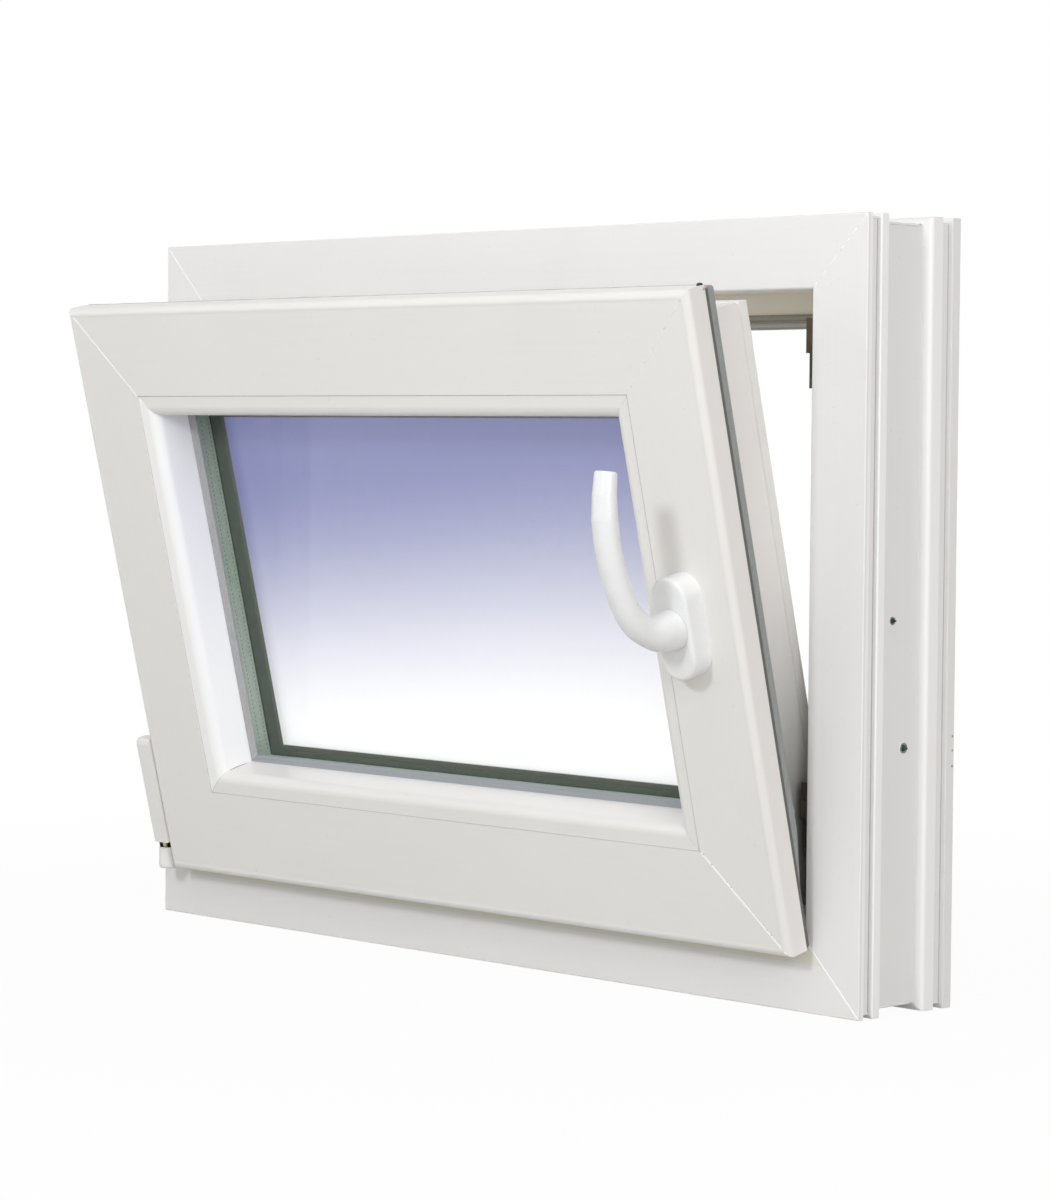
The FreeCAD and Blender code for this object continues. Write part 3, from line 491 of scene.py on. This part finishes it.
def fitting_nodes():
    """Materials of the handle, the hinges, the fittings and the glass unit, by node."""
    handle = coated_metal("handle_coat", (0.82, 0.825, 0.83))
    cover = coated_metal("hinge_cover_plastic", (0.80, 0.80, 0.785), roughness=0.36)
    steel = plated_steel("fitting_steel_plated", (0.62, 0.62, 0.60))
    nodes = {
        "handle_rosette": handle,
        "handle_lever": handle,
        # The strikers' dark brown is partly their own tone and partly painted shade of the rebate
        "lock_strikers": plated_steel("striker_brown_and_shade", (0.13, 0.105, 0.08), (0.07, 0.06, 0.045)),
        "lower_pin": plated_steel("pin_yellow_plated", (0.55, 0.50, 0.26), (0.42, 0.44, 0.24)),
        "glass_spacer": glass_spacer_metal("spacer_aluminium"),
        "inner_pane": inner_glass(),
        "outer_pane": outer_glass(),
    }
    for node in ("lower_hinge_cover", "lower_bearing", "upper_bearing"):
        nodes[node] = cover
    for node in ("handle_spindle", "stay_arm", "stay_stud", "stay_faceplate", "lock_faceplate",
                 "lock_cams", "upper_pin"):
        nodes[node] = steel
    return nodes


def dress_nodes():
    for node, material in {**plastic_nodes(), **seal_nodes(), **fitting_nodes()}.items():
        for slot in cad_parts[node].material_slots:
            slot.material = material


# Small pieces on the CAD parts
RANDOM = random.Random(11)
SEAM_PROFILE = ((-0.5, -1.0), (-0.5, 0.0), (-0.28, 0.75), (0.0, 1.0), (0.28, 0.75), (0.5, 0.0), (0.5, -1.0))
CORNERS = {"top_left": (-1, 1), "top_right": (1, 1), "bottom_right": (1, -1), "bottom_left": (-1, -1)}


class Shape:
    """Closed forms gathered into one piece."""

    def __init__(self):
        self.vertices = []
        self.faces = []

    def loft(self, rings):
        """Closed body through rings of one count, capped at both ends."""
        start = len(self.vertices)
        count = len(rings[0])
        for points in rings:
            self.vertices.extend(points)
        for i in range(len(rings) - 1):
            for j in range(count):
                a = start + i * count + j
                b = start + i * count + (j + 1) % count
                self.faces.append((a, b, b + count, a + count))
        self.faces.append(tuple(start + j for j in reversed(range(count))))
        last = start + (len(rings) - 1) * count
        self.faces.append(tuple(last + j for j in range(count)))

    def line(self, path, across, width, height):
        """Low ridge along a path; width and height are functions of the share of its length."""
        across = across.normalized()
        up = None
        rings = []
        for i, point in enumerate(path):
            along = path[min(i + 1, len(path) - 1)] - path[max(i - 1, 0)]
            turned = along.cross(across).normalized()
            reference = up or Vector((0, -1, 0))
            up = turned if turned.dot(reference) >= 0 else -turned
            share = i / (len(path) - 1)
            wide, high = width(share), height(share)
            rings.append([point + across * (u * wide) + up * (v * high) for u, v in SEAM_PROFILE])
        self.loft(rings)

    def turned(self, centre, axis, profile, count, wobble=0.0):
        """Turned body from (radius, height) pairs; wobble makes its outline uneven."""
        outline = [1.0 + RANDOM.uniform(-wobble, wobble) for _ in range(count)]
        self.loft([ring(centre, axis, height, [radius * u for u in outline]) for radius, height in profile])

    def piece(self, name, material, slot, smooth=True):
        mesh = bpy.data.meshes.new(name)
        inside = [tuple(min(max(v[i], cad_low[i]), cad_high[i]) for i in range(3)) for v in self.vertices]
        mesh.from_pydata(inside, [], self.faces)
        form = bmesh.new()
        form.from_mesh(mesh)
        bmesh.ops.recalc_face_normals(form, faces=form.faces)
        form.to_mesh(mesh)
        form.free()
        for face in mesh.polygons:
            face.use_smooth = smooth
        thing = bpy.data.objects.new(name, mesh)
        bpy.context.scene.collection.objects.link(thing)
        mesh.materials.append(material)
        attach(thing, "window")


def ring(centre, axis, height, reaches, turn=0.0):
    """Points round an axis at one height, each at its own reach."""
    axis = axis.normalized()
    side = axis.orthogonal().normalized()
    other = axis.cross(side)
    angles = [2 * math.pi * j / len(reaches) + turn for j in range(len(reaches))]
    return [centre + axis * height + side * (math.cos(angle) * reach) + other * (math.sin(angle) * reach)
            for angle, reach in zip(angles, reaches)]


def steady(value):
    return lambda share: value


def uneven(value, spread, end=None):
    """A size that wanders by the spread and may run to another size at the end."""
    last = value if end is None else end
    return lambda share: (value + (last - value) * share) * (1.0 + RANDOM.uniform(-spread, spread))


def straight(start, end, steps, matrix):
    """Evenly spaced points of a straight line, taken to their place."""
    return [matrix @ Vector([a + (b - a) * i / steps for a, b in zip(start, end)]) for i in range(steps + 1)]


def mitre(section, corner, half_width, height, matrix, step=0.0015):
    """Points along a mitre over a section of (inward, depth), from the outer corner inwards."""
    side, end = corner
    points = []
    for (a, b), (c, d) in zip(section, section[1:]):
        count = max(1, round(math.hypot(c - a, d - b) / step))
        points += [(a + (c - a) * i / count, b + (d - b) * i / count) for i in range(count)]
    points.append(section[-1])
    return [matrix @ Vector((side * (half_width - a), d, a if end < 0 else height - a)) for a, d in points]


def mitre_across(corner, matrix):
    side, end = corner
    return matrix.to_3x3() @ Vector((side, 0, -end))


def arc(first, middle, last, steps):
    """Points of the circle through three points of a section."""
    (ax, ay), (bx, by), (cx, cy) = first, middle, last
    a, b, c = (x * x + y * y for x, y in (first, middle, last))
    twice = 2 * (ax * (by - cy) + bx * (cy - ay) + cx * (ay - by))
    ux = (a * (by - cy) + b * (cy - ay) + c * (ay - by)) / twice
    uy = (a * (cx - bx) + b * (ax - cx) + c * (bx - ax)) / twice
    radius = math.hypot(ax - ux, ay - uy)
    start, end = math.atan2(ay - uy, ax - ux), math.atan2(cy - uy, cx - ux)
    angles = [start + (end - start) * i / steps for i in range(steps + 1)]
    return [(ux + radius * math.cos(angle), uy + radius * math.sin(angle)) for angle in angles]


# The beads' room side, as (inward, depth) from the sash's edge: flat, rounded shoulder and slope
BEAD_SHOULDER = arc((0.0085, BEAD_RECESS), (0.0136, 0.0032), (0.0156, 0.0083), 8)
BEAD_SECTION = ([(SASH_FACE + 0.0003, BEAD_RECESS)]
                + [(SASH_FACE + inward, depth) for inward, depth in BEAD_SHOULDER]
                + [(SASH_FACE + 0.0164, 0.0150), (SASH_FACE + 0.0166, 0.0280)])
BEAD_SEAL_SECTION = [(SASH_FACE + 0.0172, 0.0292), (SASH_FACE + 0.0208, 0.0318)]
FRAME_PLACE = (FRAME_WIDTH / 2, FRAME_HEIGHT, FRAME)
SASH_PLACE = (SASH_WIDTH / 2, SASH_HEIGHT, SASH)


def broken(path, longest, gap):
    """Cuts a path into dashes of uneven length."""
    pieces = []
    start = 0
    while start < len(path) - 2:
        length = RANDOM.randint(2, longest)
        pieces.append(path[start:start + length + 1])
        start += length + RANDOM.randint(1, gap)
    return [piece for piece in pieces if len(piece) > 1]


# Widths of the weld seams at their outer and inner end, on the frame and on the sash
FRAME_SEAMS = {"top_left": (0.0013, 0.0012), "top_right": (0.0007, 0.0006), "bottom_right": (0.0017, 0.0012)}
SASH_SEAMS = {**FRAME_SEAMS, "bottom_right": (0.0016, 0.0018)}


def add_weld_seams(bright, plain):
    """The cleaned weld beads on the mitres of the frame and the sash; the bright ones carry a painted
    highlight, whiter than the plastic.
    """
    bright_seams, plain_seams = Shape(), Shape()
    frame_face = [(0.0008, 0.0), (FRAME_FACE - 0.0008, 0.0)]
    sash_face = [(0.0024, 0.0), (SASH_FACE - 0.0002, 0.0)]
    for place, face, sizes in ((FRAME_PLACE, frame_face, FRAME_SEAMS), (SASH_PLACE, sash_face, SASH_SEAMS)):
        for name, (outer, inner) in sizes.items():
            path = mitre(face, CORNERS[name], *place)
            across = mitre_across(CORNERS[name], place[2])
            worn = name == "top_right"
            shape = plain_seams if worn and place is SASH_PLACE else bright_seams
            for dash in broken(path, 5, 3) if worn else [path]:
                shape.line(dash, across, uneven(outer, 0.14, inner), uneven(0.00011, 0.2))
    rear = [(0.0225, SASH_DEPTH), (SASH_FACE + OUTER_STEP, SASH_DEPTH)]
    for corner in CORNERS.values():
        plain_seams.line(mitre(rear, corner, *SASH_PLACE), mitre_across(corner, SASH),
                         uneven(0.0012, 0.12), uneven(0.00014, 0.2))
    over_bead = mitre(BEAD_SECTION[:7], CORNERS["top_left"], *SASH_PLACE, step=0.0008)
    bright_seams.line(over_bead, mitre_across(CORNERS["top_left"], SASH),
                      uneven(0.0008, 0.12), uneven(0.0001, 0.2))
    for (front, back), floor in ((CHANNEL_DEPTHS, CHANNEL_FLOOR), (NOTCH_DEPTHS, NOTCH_FLOOR)):
        for side, end in CORNERS.values():
            x, z = side * (FRAME_WIDTH / 2 - floor), floor if end < 0 else FRAME_HEIGHT - floor
            plain_seams.line(straight((x, front, z), (x, back, z), 12, FRAME), Vector((side, 0, -end)),
                             uneven(0.0016, 0.25), uneven(0.0006, 0.3))
    bright_seams.piece("weld_seams_bright", bright, "frame_upvc")
    plain_seams.piece("weld_seams_plain", plain, "frame_upvc")


def add_bead_mitres(dark, grey):
    """Hairline joints where the glazing beads meet; the weld seam covers the upper left one."""
    lines, faint = Shape(), Shape()
    for name in ("top_right", "bottom_right", "bottom_left"):
        across = mitre_across(CORNERS[name], SASH)
        path = mitre(BEAD_SECTION, CORNERS[name], *SASH_PLACE, step=0.0008)
        if name == "bottom_left":
            middle = len(path) // 2
            lines.line(path[middle:], across, uneven(0.00035, 0.2), uneven(0.00006, 0.2))
            lines.line(path[:middle], across, uneven(0.00018, 0.2), uneven(0.00005, 0.2))
            continue
        for dash in broken(path, 9, 2):
            faint.line(dash, across, uneven(0.00026, 0.2), uneven(0.00005, 0.2))
    for corner in CORNERS.values():
        lines.line(mitre(BEAD_SEAL_SECTION, corner, *SASH_PLACE, step=0.0006), mitre_across(corner, SASH),
                   uneven(0.0006, 0.2), steady(0.00015))
    lines.piece("bead_mitre_lines", dark, "glazing_seal")
    faint.piece("bead_mitre_faint", grey, "bead_upvc")


def add_bead_joints(grey):
    """Hairline joint between the glazing beads and the sash."""
    joints = Shape()
    inset = SASH_FACE + 0.0003
    half, top = SASH_WIDTH / 2 - inset, SASH_HEIGHT - inset
    lock = half - 0.0009
    corners = [(-half, inset), (lock, inset), (lock, top), (-half, top)]
    for (ax, az), (bx, bz) in zip(corners, corners[1:] + corners[:1]):
        path = straight((ax, BEAD_RECESS, az), (bx, BEAD_RECESS, bz), 60, SASH)
        across = SASH_TURN @ (Vector((0, 0, 1)) if az == bz else Vector((1, 0, 0)))
        joints.line(path, across, uneven(0.00055, 0.15), uneven(0.00008, 0.2))
    joints.piece("bead_joint_lines", grey, "bead_upvc")


def add_nicks(dark):
    """Tiny knocks beside the sash's lower right seam, drawn as near-black dots: the knocks with their shade
    painted in.
    """
    marks = Shape()
    across = mitre_across(CORNERS["bottom_right"], SASH).normalized()
    path = mitre([(0.006, 0.0), (SASH_FACE - 0.002, 0.0)], CORNERS["bottom_right"], *SASH_PLACE)
    for point in RANDOM.sample(path, 9):
        size = RANDOM.uniform(0.0002, 0.00045)
        centre = point + across * RANDOM.uniform(0.0009, 0.0016)
        profile = ((size * 0.5, -0.0001), (size, 0.00002), (size * 0.6, 0.00006))
        marks.turned(centre, -SASH_INWARD, profile, 8, 0.3)
    marks.piece("small_knocks_and_shade", dark, "sash_upvc")


# The screw points in the lock jamb's outer channel, as (depth, height, size)
SCREW_POINTS = ((0.0329, 0.2474, 0.0024), (0.0449, 0.1672, 0.0031))


def add_screw_points(dark, green, burr):
    """Points of the fitting screws that come through into the lock jamb's outer channel."""
    out = Vector((1, 0, 0))
    points, rims, burrs = Shape(), Shape(), Shape()
    for depth, height, size in SCREW_POINTS:
        centre = Vector((FRAME_WIDTH / 2 - CHANNEL_FLOOR, depth - ORIGIN_DEPTH, height))
        burrs.turned(centre, out, ((size * 1.45, -0.0002), (size * 1.4, 0.00015), (size * 1.15, 0.0005),
                                   (size * 1.0, 0.0003), (size * 0.9, -0.0001)), 20, 0.10)
        rims.turned(centre, out, ((size * 1.1, -0.0001), (size * 1.08, 0.0007), (size * 0.85, 0.0009),
                                  (size * 0.7, 0.0005)), 20, 0.06)
        thread = [(size * 0.70, 0.0)]
        for i in range(6):
            reach = size * (0.66 - 0.09 * i)
            thread += [(reach, 0.0006 + 0.0005 * i), (reach * 0.82, 0.0008 + 0.0005 * i)]
        thread.append((size * 0.06, 0.0040))
        points.turned(centre, out, thread, 20)
    points.piece("screw_points", dark, "fitting_steel")
    rims.piece("screw_point_rims", green, "fitting_steel")
    burrs.piece("screw_point_burrs", burr, "frame_upvc")


def cross_reach(angle, arm, half):
    """Distance from the middle to a cross recess's outline."""
    turn = (angle + math.pi / 4) % (math.pi / 2) - math.pi / 4
    return min(arm, half / max(abs(math.sin(turn)), 1e-6)) if abs(turn) > 1e-6 else arm


def add_screw(shape, centre, axis, radius):
    """Countersunk head with a cross recess."""
    count = 32
    turn = RANDOM.uniform(0, math.pi / 2)
    cross = [cross_reach(2 * math.pi * j / count, radius * 0.62, radius * 0.17) for j in range(count)]
    head = ((0.9, -0.45), (1.0, 0.0), (0.97, 0.08), (0.85, 0.14))
    recess = ((1.0, 0.16), (0.85, -0.25), (0.25, -0.4))
    rings = [ring(centre, axis, radius * level, [radius * share] * count, turn) for share, level in head]
    rings += [ring(centre, axis, radius * level, [reach * share for reach in cross], turn)
              for share, level in recess]
    shape.loft(rings)


SCREW_RADIUS = 0.0030
LOCK_SCREWS = (0.028, 0.130, 0.232, 0.322, 0.398)
STAY_SCREWS = (0.060, 0.140, 0.220)


def add_screws(steel):
    """Fixing screws of the espagnolette and of the stay's faceplate."""
    screws = Shape()
    sunk = FLANGE_WIDTH + SEAT_DEPTH - FACEPLATE_THICKNESS
    for height in LOCK_SCREWS:
        place = SASH @ Vector((SASH_WIDTH / 2 - sunk, GEAR_DEPTH, height))
        add_screw(screws, place, SASH_TURN @ Vector((1, 0, 0)), SCREW_RADIUS)
    for x in STAY_SCREWS:
        place = SASH @ Vector((x, GEAR_DEPTH, SASH_HEIGHT - sunk))
        add_screw(screws, place, SASH_TURN @ Vector((0, 0, 1)), SCREW_RADIUS)
    screws.piece("fitting_screws", steel, "fitting_steel", smooth=False)


SLOT_ROWS = (0.0400, 0.0460)
SLOT_PITCH = 0.0032
SLOT_LENGTH = 0.0015
SLOT_WIDTH = 0.00038
SLOT_RISE = 0.00006
SLOT_OUTLINE = ((-0.5, 0), (-0.36, 0.5), (0.36, 0.5), (0.5, 0), (0.36, -0.5), (-0.36, -0.5))


def spacer_sides():
    """(middle, way along, way into the glazing, half length) of the spacer's four sides."""
    wide, high, level = SASH_WIDTH / 2 - SPACER_EDGE, SASH_HEIGHT / 2 - SPACER_EDGE, SASH_HEIGHT / 2
    along_x, along_z = Vector((1, 0, 0)), Vector((0, 0, 1))
    uprights = [(Vector((end * wide, 0, level)), along_z, along_x * -end, high) for end in (-1, 1)]
    levels = [(Vector((0, 0, level + end * high)), along_x, along_z * -end, wide) for end in (-1, 1)]
    return uprights + levels


def add_spacer_slots(dark):
    """The spacer's two rows of tiny breathing slots, on its side that faces the cavity."""
    slots = Shape()
    across = Vector((0, 1, 0))
    levels = ((-0.0001, 0.9), (SLOT_RISE * 0.6, 1.0), (SLOT_RISE, 0.8))
    for row in SLOT_ROWS:
        for middle, along, inward, half_run in spacer_sides():
            count = int((2 * half_run - 0.006) / SLOT_PITCH)
            for i in range(count):
                centre = middle + across * row + along * ((i - (count - 1) / 2) * SLOT_PITCH)
                slots.loft([[SASH @ (centre + inward * rise + along * (u * SLOT_LENGTH * share)
                                     + across * (v * SLOT_WIDTH * share)) for u, v in SLOT_OUTLINE]
                            for rise, share in levels])
    slots.piece("spacer_slots", dark, "spacer_metal", smooth=False)


# The lip's section as (outward, depth) from its foot; it fades out at both lower ends
LIP_SECTION = ((0.0, 0.0), (0.0006, 0.0030), (-0.0010, 0.0062), (-0.0046, 0.0088),
               (-0.0052, 0.0082), (-0.0022, 0.0052), (-0.0016, 0.0028), (-0.0018, 0.0))
LIP_DEPTH = FLANGE_THICKNESS + 0.0040
LIP_INSET = 0.0022
LIP_FOOT = 0.040
LIP_FADE = 0.035
LIP_STEP = 0.012


def add_seal_lip(soft):
    """The sash seal's soft lip on the hinge side, over the top and on the lock side."""
    lip = Shape()
    half, top = SASH_WIDTH / 2 - LIP_INSET, SASH_HEIGHT - LIP_INSET
    route = [(-half, LIP_FOOT), (-half, top), (half, top), (half, LIP_FOOT)]
    places = []
    for (ax, az), (bx, bz) in zip(route, route[1:]):
        steps = max(2, round(math.hypot(bx - ax, bz - az) / LIP_STEP))
        places += [(ax + (bx - ax) * i / steps, az + (bz - az) * i / steps) for i in range(steps)]
    places.append(route[-1])
    rings = []
    for x, z in places:
        fade = min(1.0, max(0.05, (z - LIP_FOOT) / LIP_FADE))
        sideways = math.copysign(fade, x) if abs(x) > half - 1e-5 else 0.0
        upwards = fade if z > top - 1e-5 else 0.0
        rings.append([SASH @ Vector((x + out * sideways, LIP_DEPTH + deep * fade, z + out * upwards))
                      for out, deep in LIP_SECTION])
    lip.loft(rings)
    lip.piece("sash_seal_lip", soft, "seal_grey")


def add_corner_marks(dark, pink, brown):
    """The seal's cut end at the sash's top corner on the lock side, and its edge along the top."""
    ends, smear, edge = Shape(), Shape(), Shape()
    place = SASH @ Vector((SASH_WIDTH / 2 - 0.0026, 0.0150, SASH_HEIGHT + 0.0001))
    up = SASH_TURN @ Vector((0.25, -0.35, 1.0))
    ends.turned(place, up, ((0.0022, -0.0006), (0.0021, 0.0003), (0.0014, 0.0009), (0.0006, 0.0011)),
                14, 0.22)
    ends.piece("seal_end_dark", dark, "seal_grey")
    smear.turned(place + Vector((0.0010, 0.0014, -0.0012)), up,
                 ((0.0026, -0.0006), (0.0024, 0.0002), (0.0014, 0.0006)), 14, 0.28)
    smear.piece("seal_end_fringe", pink, "seal_grey")
    depth, level = FLANGE_THICKNESS + 0.0004, SASH_HEIGHT - 0.0003
    path = straight((-SASH_WIDTH / 2 + 0.004, depth, level), (SASH_WIDTH / 2 - 0.005, depth, level), 60, SASH)
    edge.line(path, SASH_INWARD, uneven(0.0007, 0.1), uneven(0.00032, 0.18))
    edge.piece("sash_seal_top_edge", brown, "seal_grey")


def add_groove_shade_lines(grey):
    """Painted shade: thin dark lines in the inner corners of the frame's outer notches, on all four sides."""
    dust_and_shade = Shape()
    half, top, short = FRAME_WIDTH / 2, FRAME_HEIGHT, 0.004
    for depth, floor in ((0.0119, NOTCH_FLOOR), (0.0796, REAR_NOTCH_FLOOR)):
        runs = [((x, depth, short), (x, depth, top - short)) for x in (half - floor, floor - half)]
        runs += [((short - half, depth, z), (half - short, depth, z)) for z in (top - floor, floor)]
        for start, end in runs:
            dust_and_shade.line(straight(start, end, 90, FRAME), Vector((0, 1, 0)),
                      uneven(0.0010, 0.12), uneven(0.00010, 0.2))
    dust_and_shade.piece("groove_shade_lines", grey, "frame_upvc")


# A dark sheet round the lower hinge's pin: painted shade in the cup's opening
HOLE_SHADE_TOP = COVER_FOOT + 0.0002
HOLE_SHADE_FOOT = COVER_FOOT - 0.0070
HOLE_SHADE_SECTION = ((0.0032, HOLE_SHADE_TOP), (0.0042, HOLE_SHADE_TOP), (0.0042, HOLE_SHADE_FOOT), (0.0032, HOLE_SHADE_FOOT))
HOLE_SHADE_REACH = math.radians(120)
MOULDING_ANGLE = TOWARDS_VIEW + math.radians(1)


def add_hinge_details(dark, grey):
    """Painted shade: a dark sheet round the back of the lower hinge's pin, where the cup's opening lies in
    shade, and the cover's moulding line.
    """
    hole_shade, moulding = Shape(), Shape()
    steps = 16
    rings = []
    for i in range(steps + 1):
        angle = TOWARDS_VIEW + math.pi + HOLE_SHADE_REACH * (2 * i / steps - 1)
        x, depth = math.cos(angle), math.sin(angle)
        rings.append([SASH @ Vector((HINGE_X + x * radius, HINGE_DEPTH + depth * radius, height))
                      for radius, height in HOLE_SHADE_SECTION])
    hole_shade.loft(rings)
    hole_shade.piece("hinge_pin_hole_shade", dark, "fitting_steel")
    out = Vector((math.cos(MOULDING_ANGLE), math.sin(MOULDING_ANGLE), 0))
    x, depth, _ = Vector((HINGE_X, HINGE_DEPTH, 0)) + out * (BARREL_RADIUS + 0.00002)
    foot, head = COVER_FOOT + 0.004, COVER_FOOT + COVER_LENGTH - 0.005
    moulding.line(straight((x, depth, foot), (x, depth, head), 40, SASH),
                  SASH_TURN @ Vector((-out.y, out.x, 0)), uneven(0.0004, 0.1), uneven(0.00006, 0.15))
    moulding.piece("hinge_cover_line", grey, "hinge_cover_white")


def add_details():
    # Painted highlight: the bright seams are whiter than the plastic round them
    bright = extruded_plastic("weld_white_highlight", (0.97, 0.97, 0.97), ALONG_Y, roughness=0.25)
    plain = extruded_plastic("weld_plain", (0.84, 0.835, 0.825), ALONG_Y)
    dark_line = rubber("joint_shadow", (0.16, 0.155, 0.14), ALONG_Y)
    joint_grey = rubber("joint_grey", (0.58, 0.565, 0.555), ALONG_Y)
    black = rubber("dark_mark", (0.030, 0.030, 0.028), ALONG_Y)
    soft = rubber("sash_seal_soft", (0.30, 0.315, 0.31), ALONG_Z)
    brown = rubber("seal_edge_brown", (0.26, 0.23, 0.205), ALONG_X)
    # Grey of the painted shade lines in the notch corners
    grey = rubber("groove_shade_grey", (0.44, 0.43, 0.435), ALONG_Z)
    pink = rubber("fringe_pink", (0.55, 0.38, 0.38), ALONG_Y)
    burnished = plated_steel("screw_point_steel", (0.06, 0.075, 0.07), (0.03, 0.04, 0.035))
    green = plated_steel("screw_rim_steel", (0.20, 0.26, 0.24), (0.12, 0.17, 0.155))
    steel = plated_steel("screw_steel", (0.60, 0.60, 0.57))
    add_weld_seams(bright, plain)
    add_bead_mitres(dark_line, joint_grey)
    add_bead_joints(joint_grey)
    add_nicks(black)
    add_screw_points(burnished, green, plain)
    add_screws(steel)
    add_spacer_slots(black)
    add_seal_lip(soft)
    add_corner_marks(black, pink, brown)
    add_groove_shade_lines(grey)
    add_hinge_details(black, joint_grey)


# Studio
FLOOR_SIZE = 14.0
FLOOR_DROP = 0.001
FLOOR_LIGHT = (0.60, 0.59, 0.57)
FLOOR_WHITE_NEAR = 0.965
FLOOR_FADE = (0.5, 1.1)
AMBIENT = (1.0, 0.975, 0.935)
AMBIENT_STRENGTH = 0.37
AIM = Vector((0.0, -0.05, 0.25))

# Name, direction, distance, size, light added to a surface that faces the lamp, and colour
LAMPS = (
    ("key_lamp", (0.25, -1.13, 0.50), 2.6, 0.38, 0.22, (0.94, 0.98, 1.0)),
    ("side_lamp", (0.86, -0.42, 0.29), 3.4, 1.9, 0.31, (0.99, 0.99, 1.0)),
    ("top_lamp", (0.2, -0.5, 1.0), 1.5, 1.2, 0.17, (0.98, 1.0, 1.0)),
    ("left_lamp", (-0.9, -0.8, 0.3), 2.2, 1.2, 0.075, (1.0, 0.97, 0.95)),
    ("back_lamp", (-0.35, 1.0, 0.10), 2.2, 1.4, 0.36, (1.0, 0.99, 0.97)),
)


def shows_white(tree):
    """1 for the rays that see the backdrop itself, 0 for those that only light the object."""
    rays = tree.nodes.new("ShaderNodeLightPath")
    value = rays.outputs["Is Camera Ray"]
    for other in ("Is Glossy Ray", "Is Transmission Ray"):
        most = tree.nodes.new("ShaderNodeMath")
        most.operation = "MAXIMUM"
        tree.links.new(value, most.inputs[0])
        tree.links.new(rays.outputs[other], most.inputs[1])
        value = most.outputs[0]
    return value


def floor_paper():
    """Pale paper: white to the camera and to mirror and glass rays, and its own colour to light."""
    m = Nodes("floor_paper")
    fibres = m.noise(220.0)
    m.colour(m.ramp(fibres, ((0.3, shade(FLOOR_LIGHT, 0.985)), (0.7, FLOOR_LIGHT))))
    m.fix("Roughness", 0.9)
    m.fix("Specular IOR Level", 0.05)
    white = m.add("Emission")
    white.inputs["Strength"].default_value = 1.0
    away = m.add("VectorMath", operation="LENGTH")
    m.link(m.place(), away.inputs[0])
    share = m.span(away.outputs["Value"], FLOOR_WHITE_NEAR, 1.0, *FLOOR_FADE)
    blend = m.add("MixShader")
    m.link(m.product(shows_white(m.tree), share), blend.inputs["Fac"])
    m.link(m.shader.outputs["BSDF"], blend.inputs[1])
    m.link(white.outputs["Emission"], blend.inputs[2])
    m.link(blend.outputs["Shader"], m.output.inputs["Surface"])
    return m.material


def make_floor():
    half = FLOOR_SIZE / 2
    mesh = bpy.data.meshes.new("studio_floor")
    corners = [(-half, -half, 0), (half, -half, 0), (half, half, 0), (-half, half, 0)]
    mesh.from_pydata(corners, [], [(0, 1, 2, 3)])
    floor = bpy.data.objects.new("studio_floor", mesh)
    floor.location = (0, 0, -FLOOR_DROP)
    floor.data.materials.append(floor_paper())
    bpy.context.scene.collection.objects.link(floor)


def make_world():
    world = bpy.data.worlds.new("studio")
    world.use_nodes = True
    bpy.context.scene.world = world
    tree = world.node_tree
    soft = tree.nodes["Background"]
    soft.inputs["Color"].default_value = (*AMBIENT, 1.0)
    soft.inputs["Strength"].default_value = AMBIENT_STRENGTH
    white = tree.nodes.new("ShaderNodeBackground")
    white.inputs["Color"].default_value = (1, 1, 1, 1)
    white.inputs["Strength"].default_value = 1.0
    blend = tree.nodes.new("ShaderNodeMixShader")
    tree.links.new(shows_white(tree), blend.inputs["Fac"])
    tree.links.new(soft.outputs["Background"], blend.inputs[1])
    tree.links.new(white.outputs["Background"], blend.inputs[2])
    tree.links.new(blend.outputs["Shader"], tree.nodes["World Output"].inputs["Surface"])


def add_lamp(name, direction, distance, size, light, colour):
    """Soft square lamp that faces the middle of the object."""
    data = bpy.data.lights.new(name, "AREA")
    data.shape = "SQUARE"
    data.size = size
    data.energy = light * 4.0 * math.pi * distance ** 2
    data.color = colour
    thing = bpy.data.objects.new(name, data)
    towards = Vector(direction).normalized()
    thing.location = AIM + towards * distance
    thing.rotation_mode = "QUATERNION"
    thing.rotation_quaternion = (-towards).to_track_quat("-Z", "Y")
    bpy.context.scene.collection.objects.link(thing)


def make_studio():
    make_floor()
    make_world()
    for settings in LAMPS:
        add_lamp(*settings)
    bpy.context.scene.view_settings.view_transform = "Standard"


make_camera()
dress_nodes()
add_details()
make_studio()
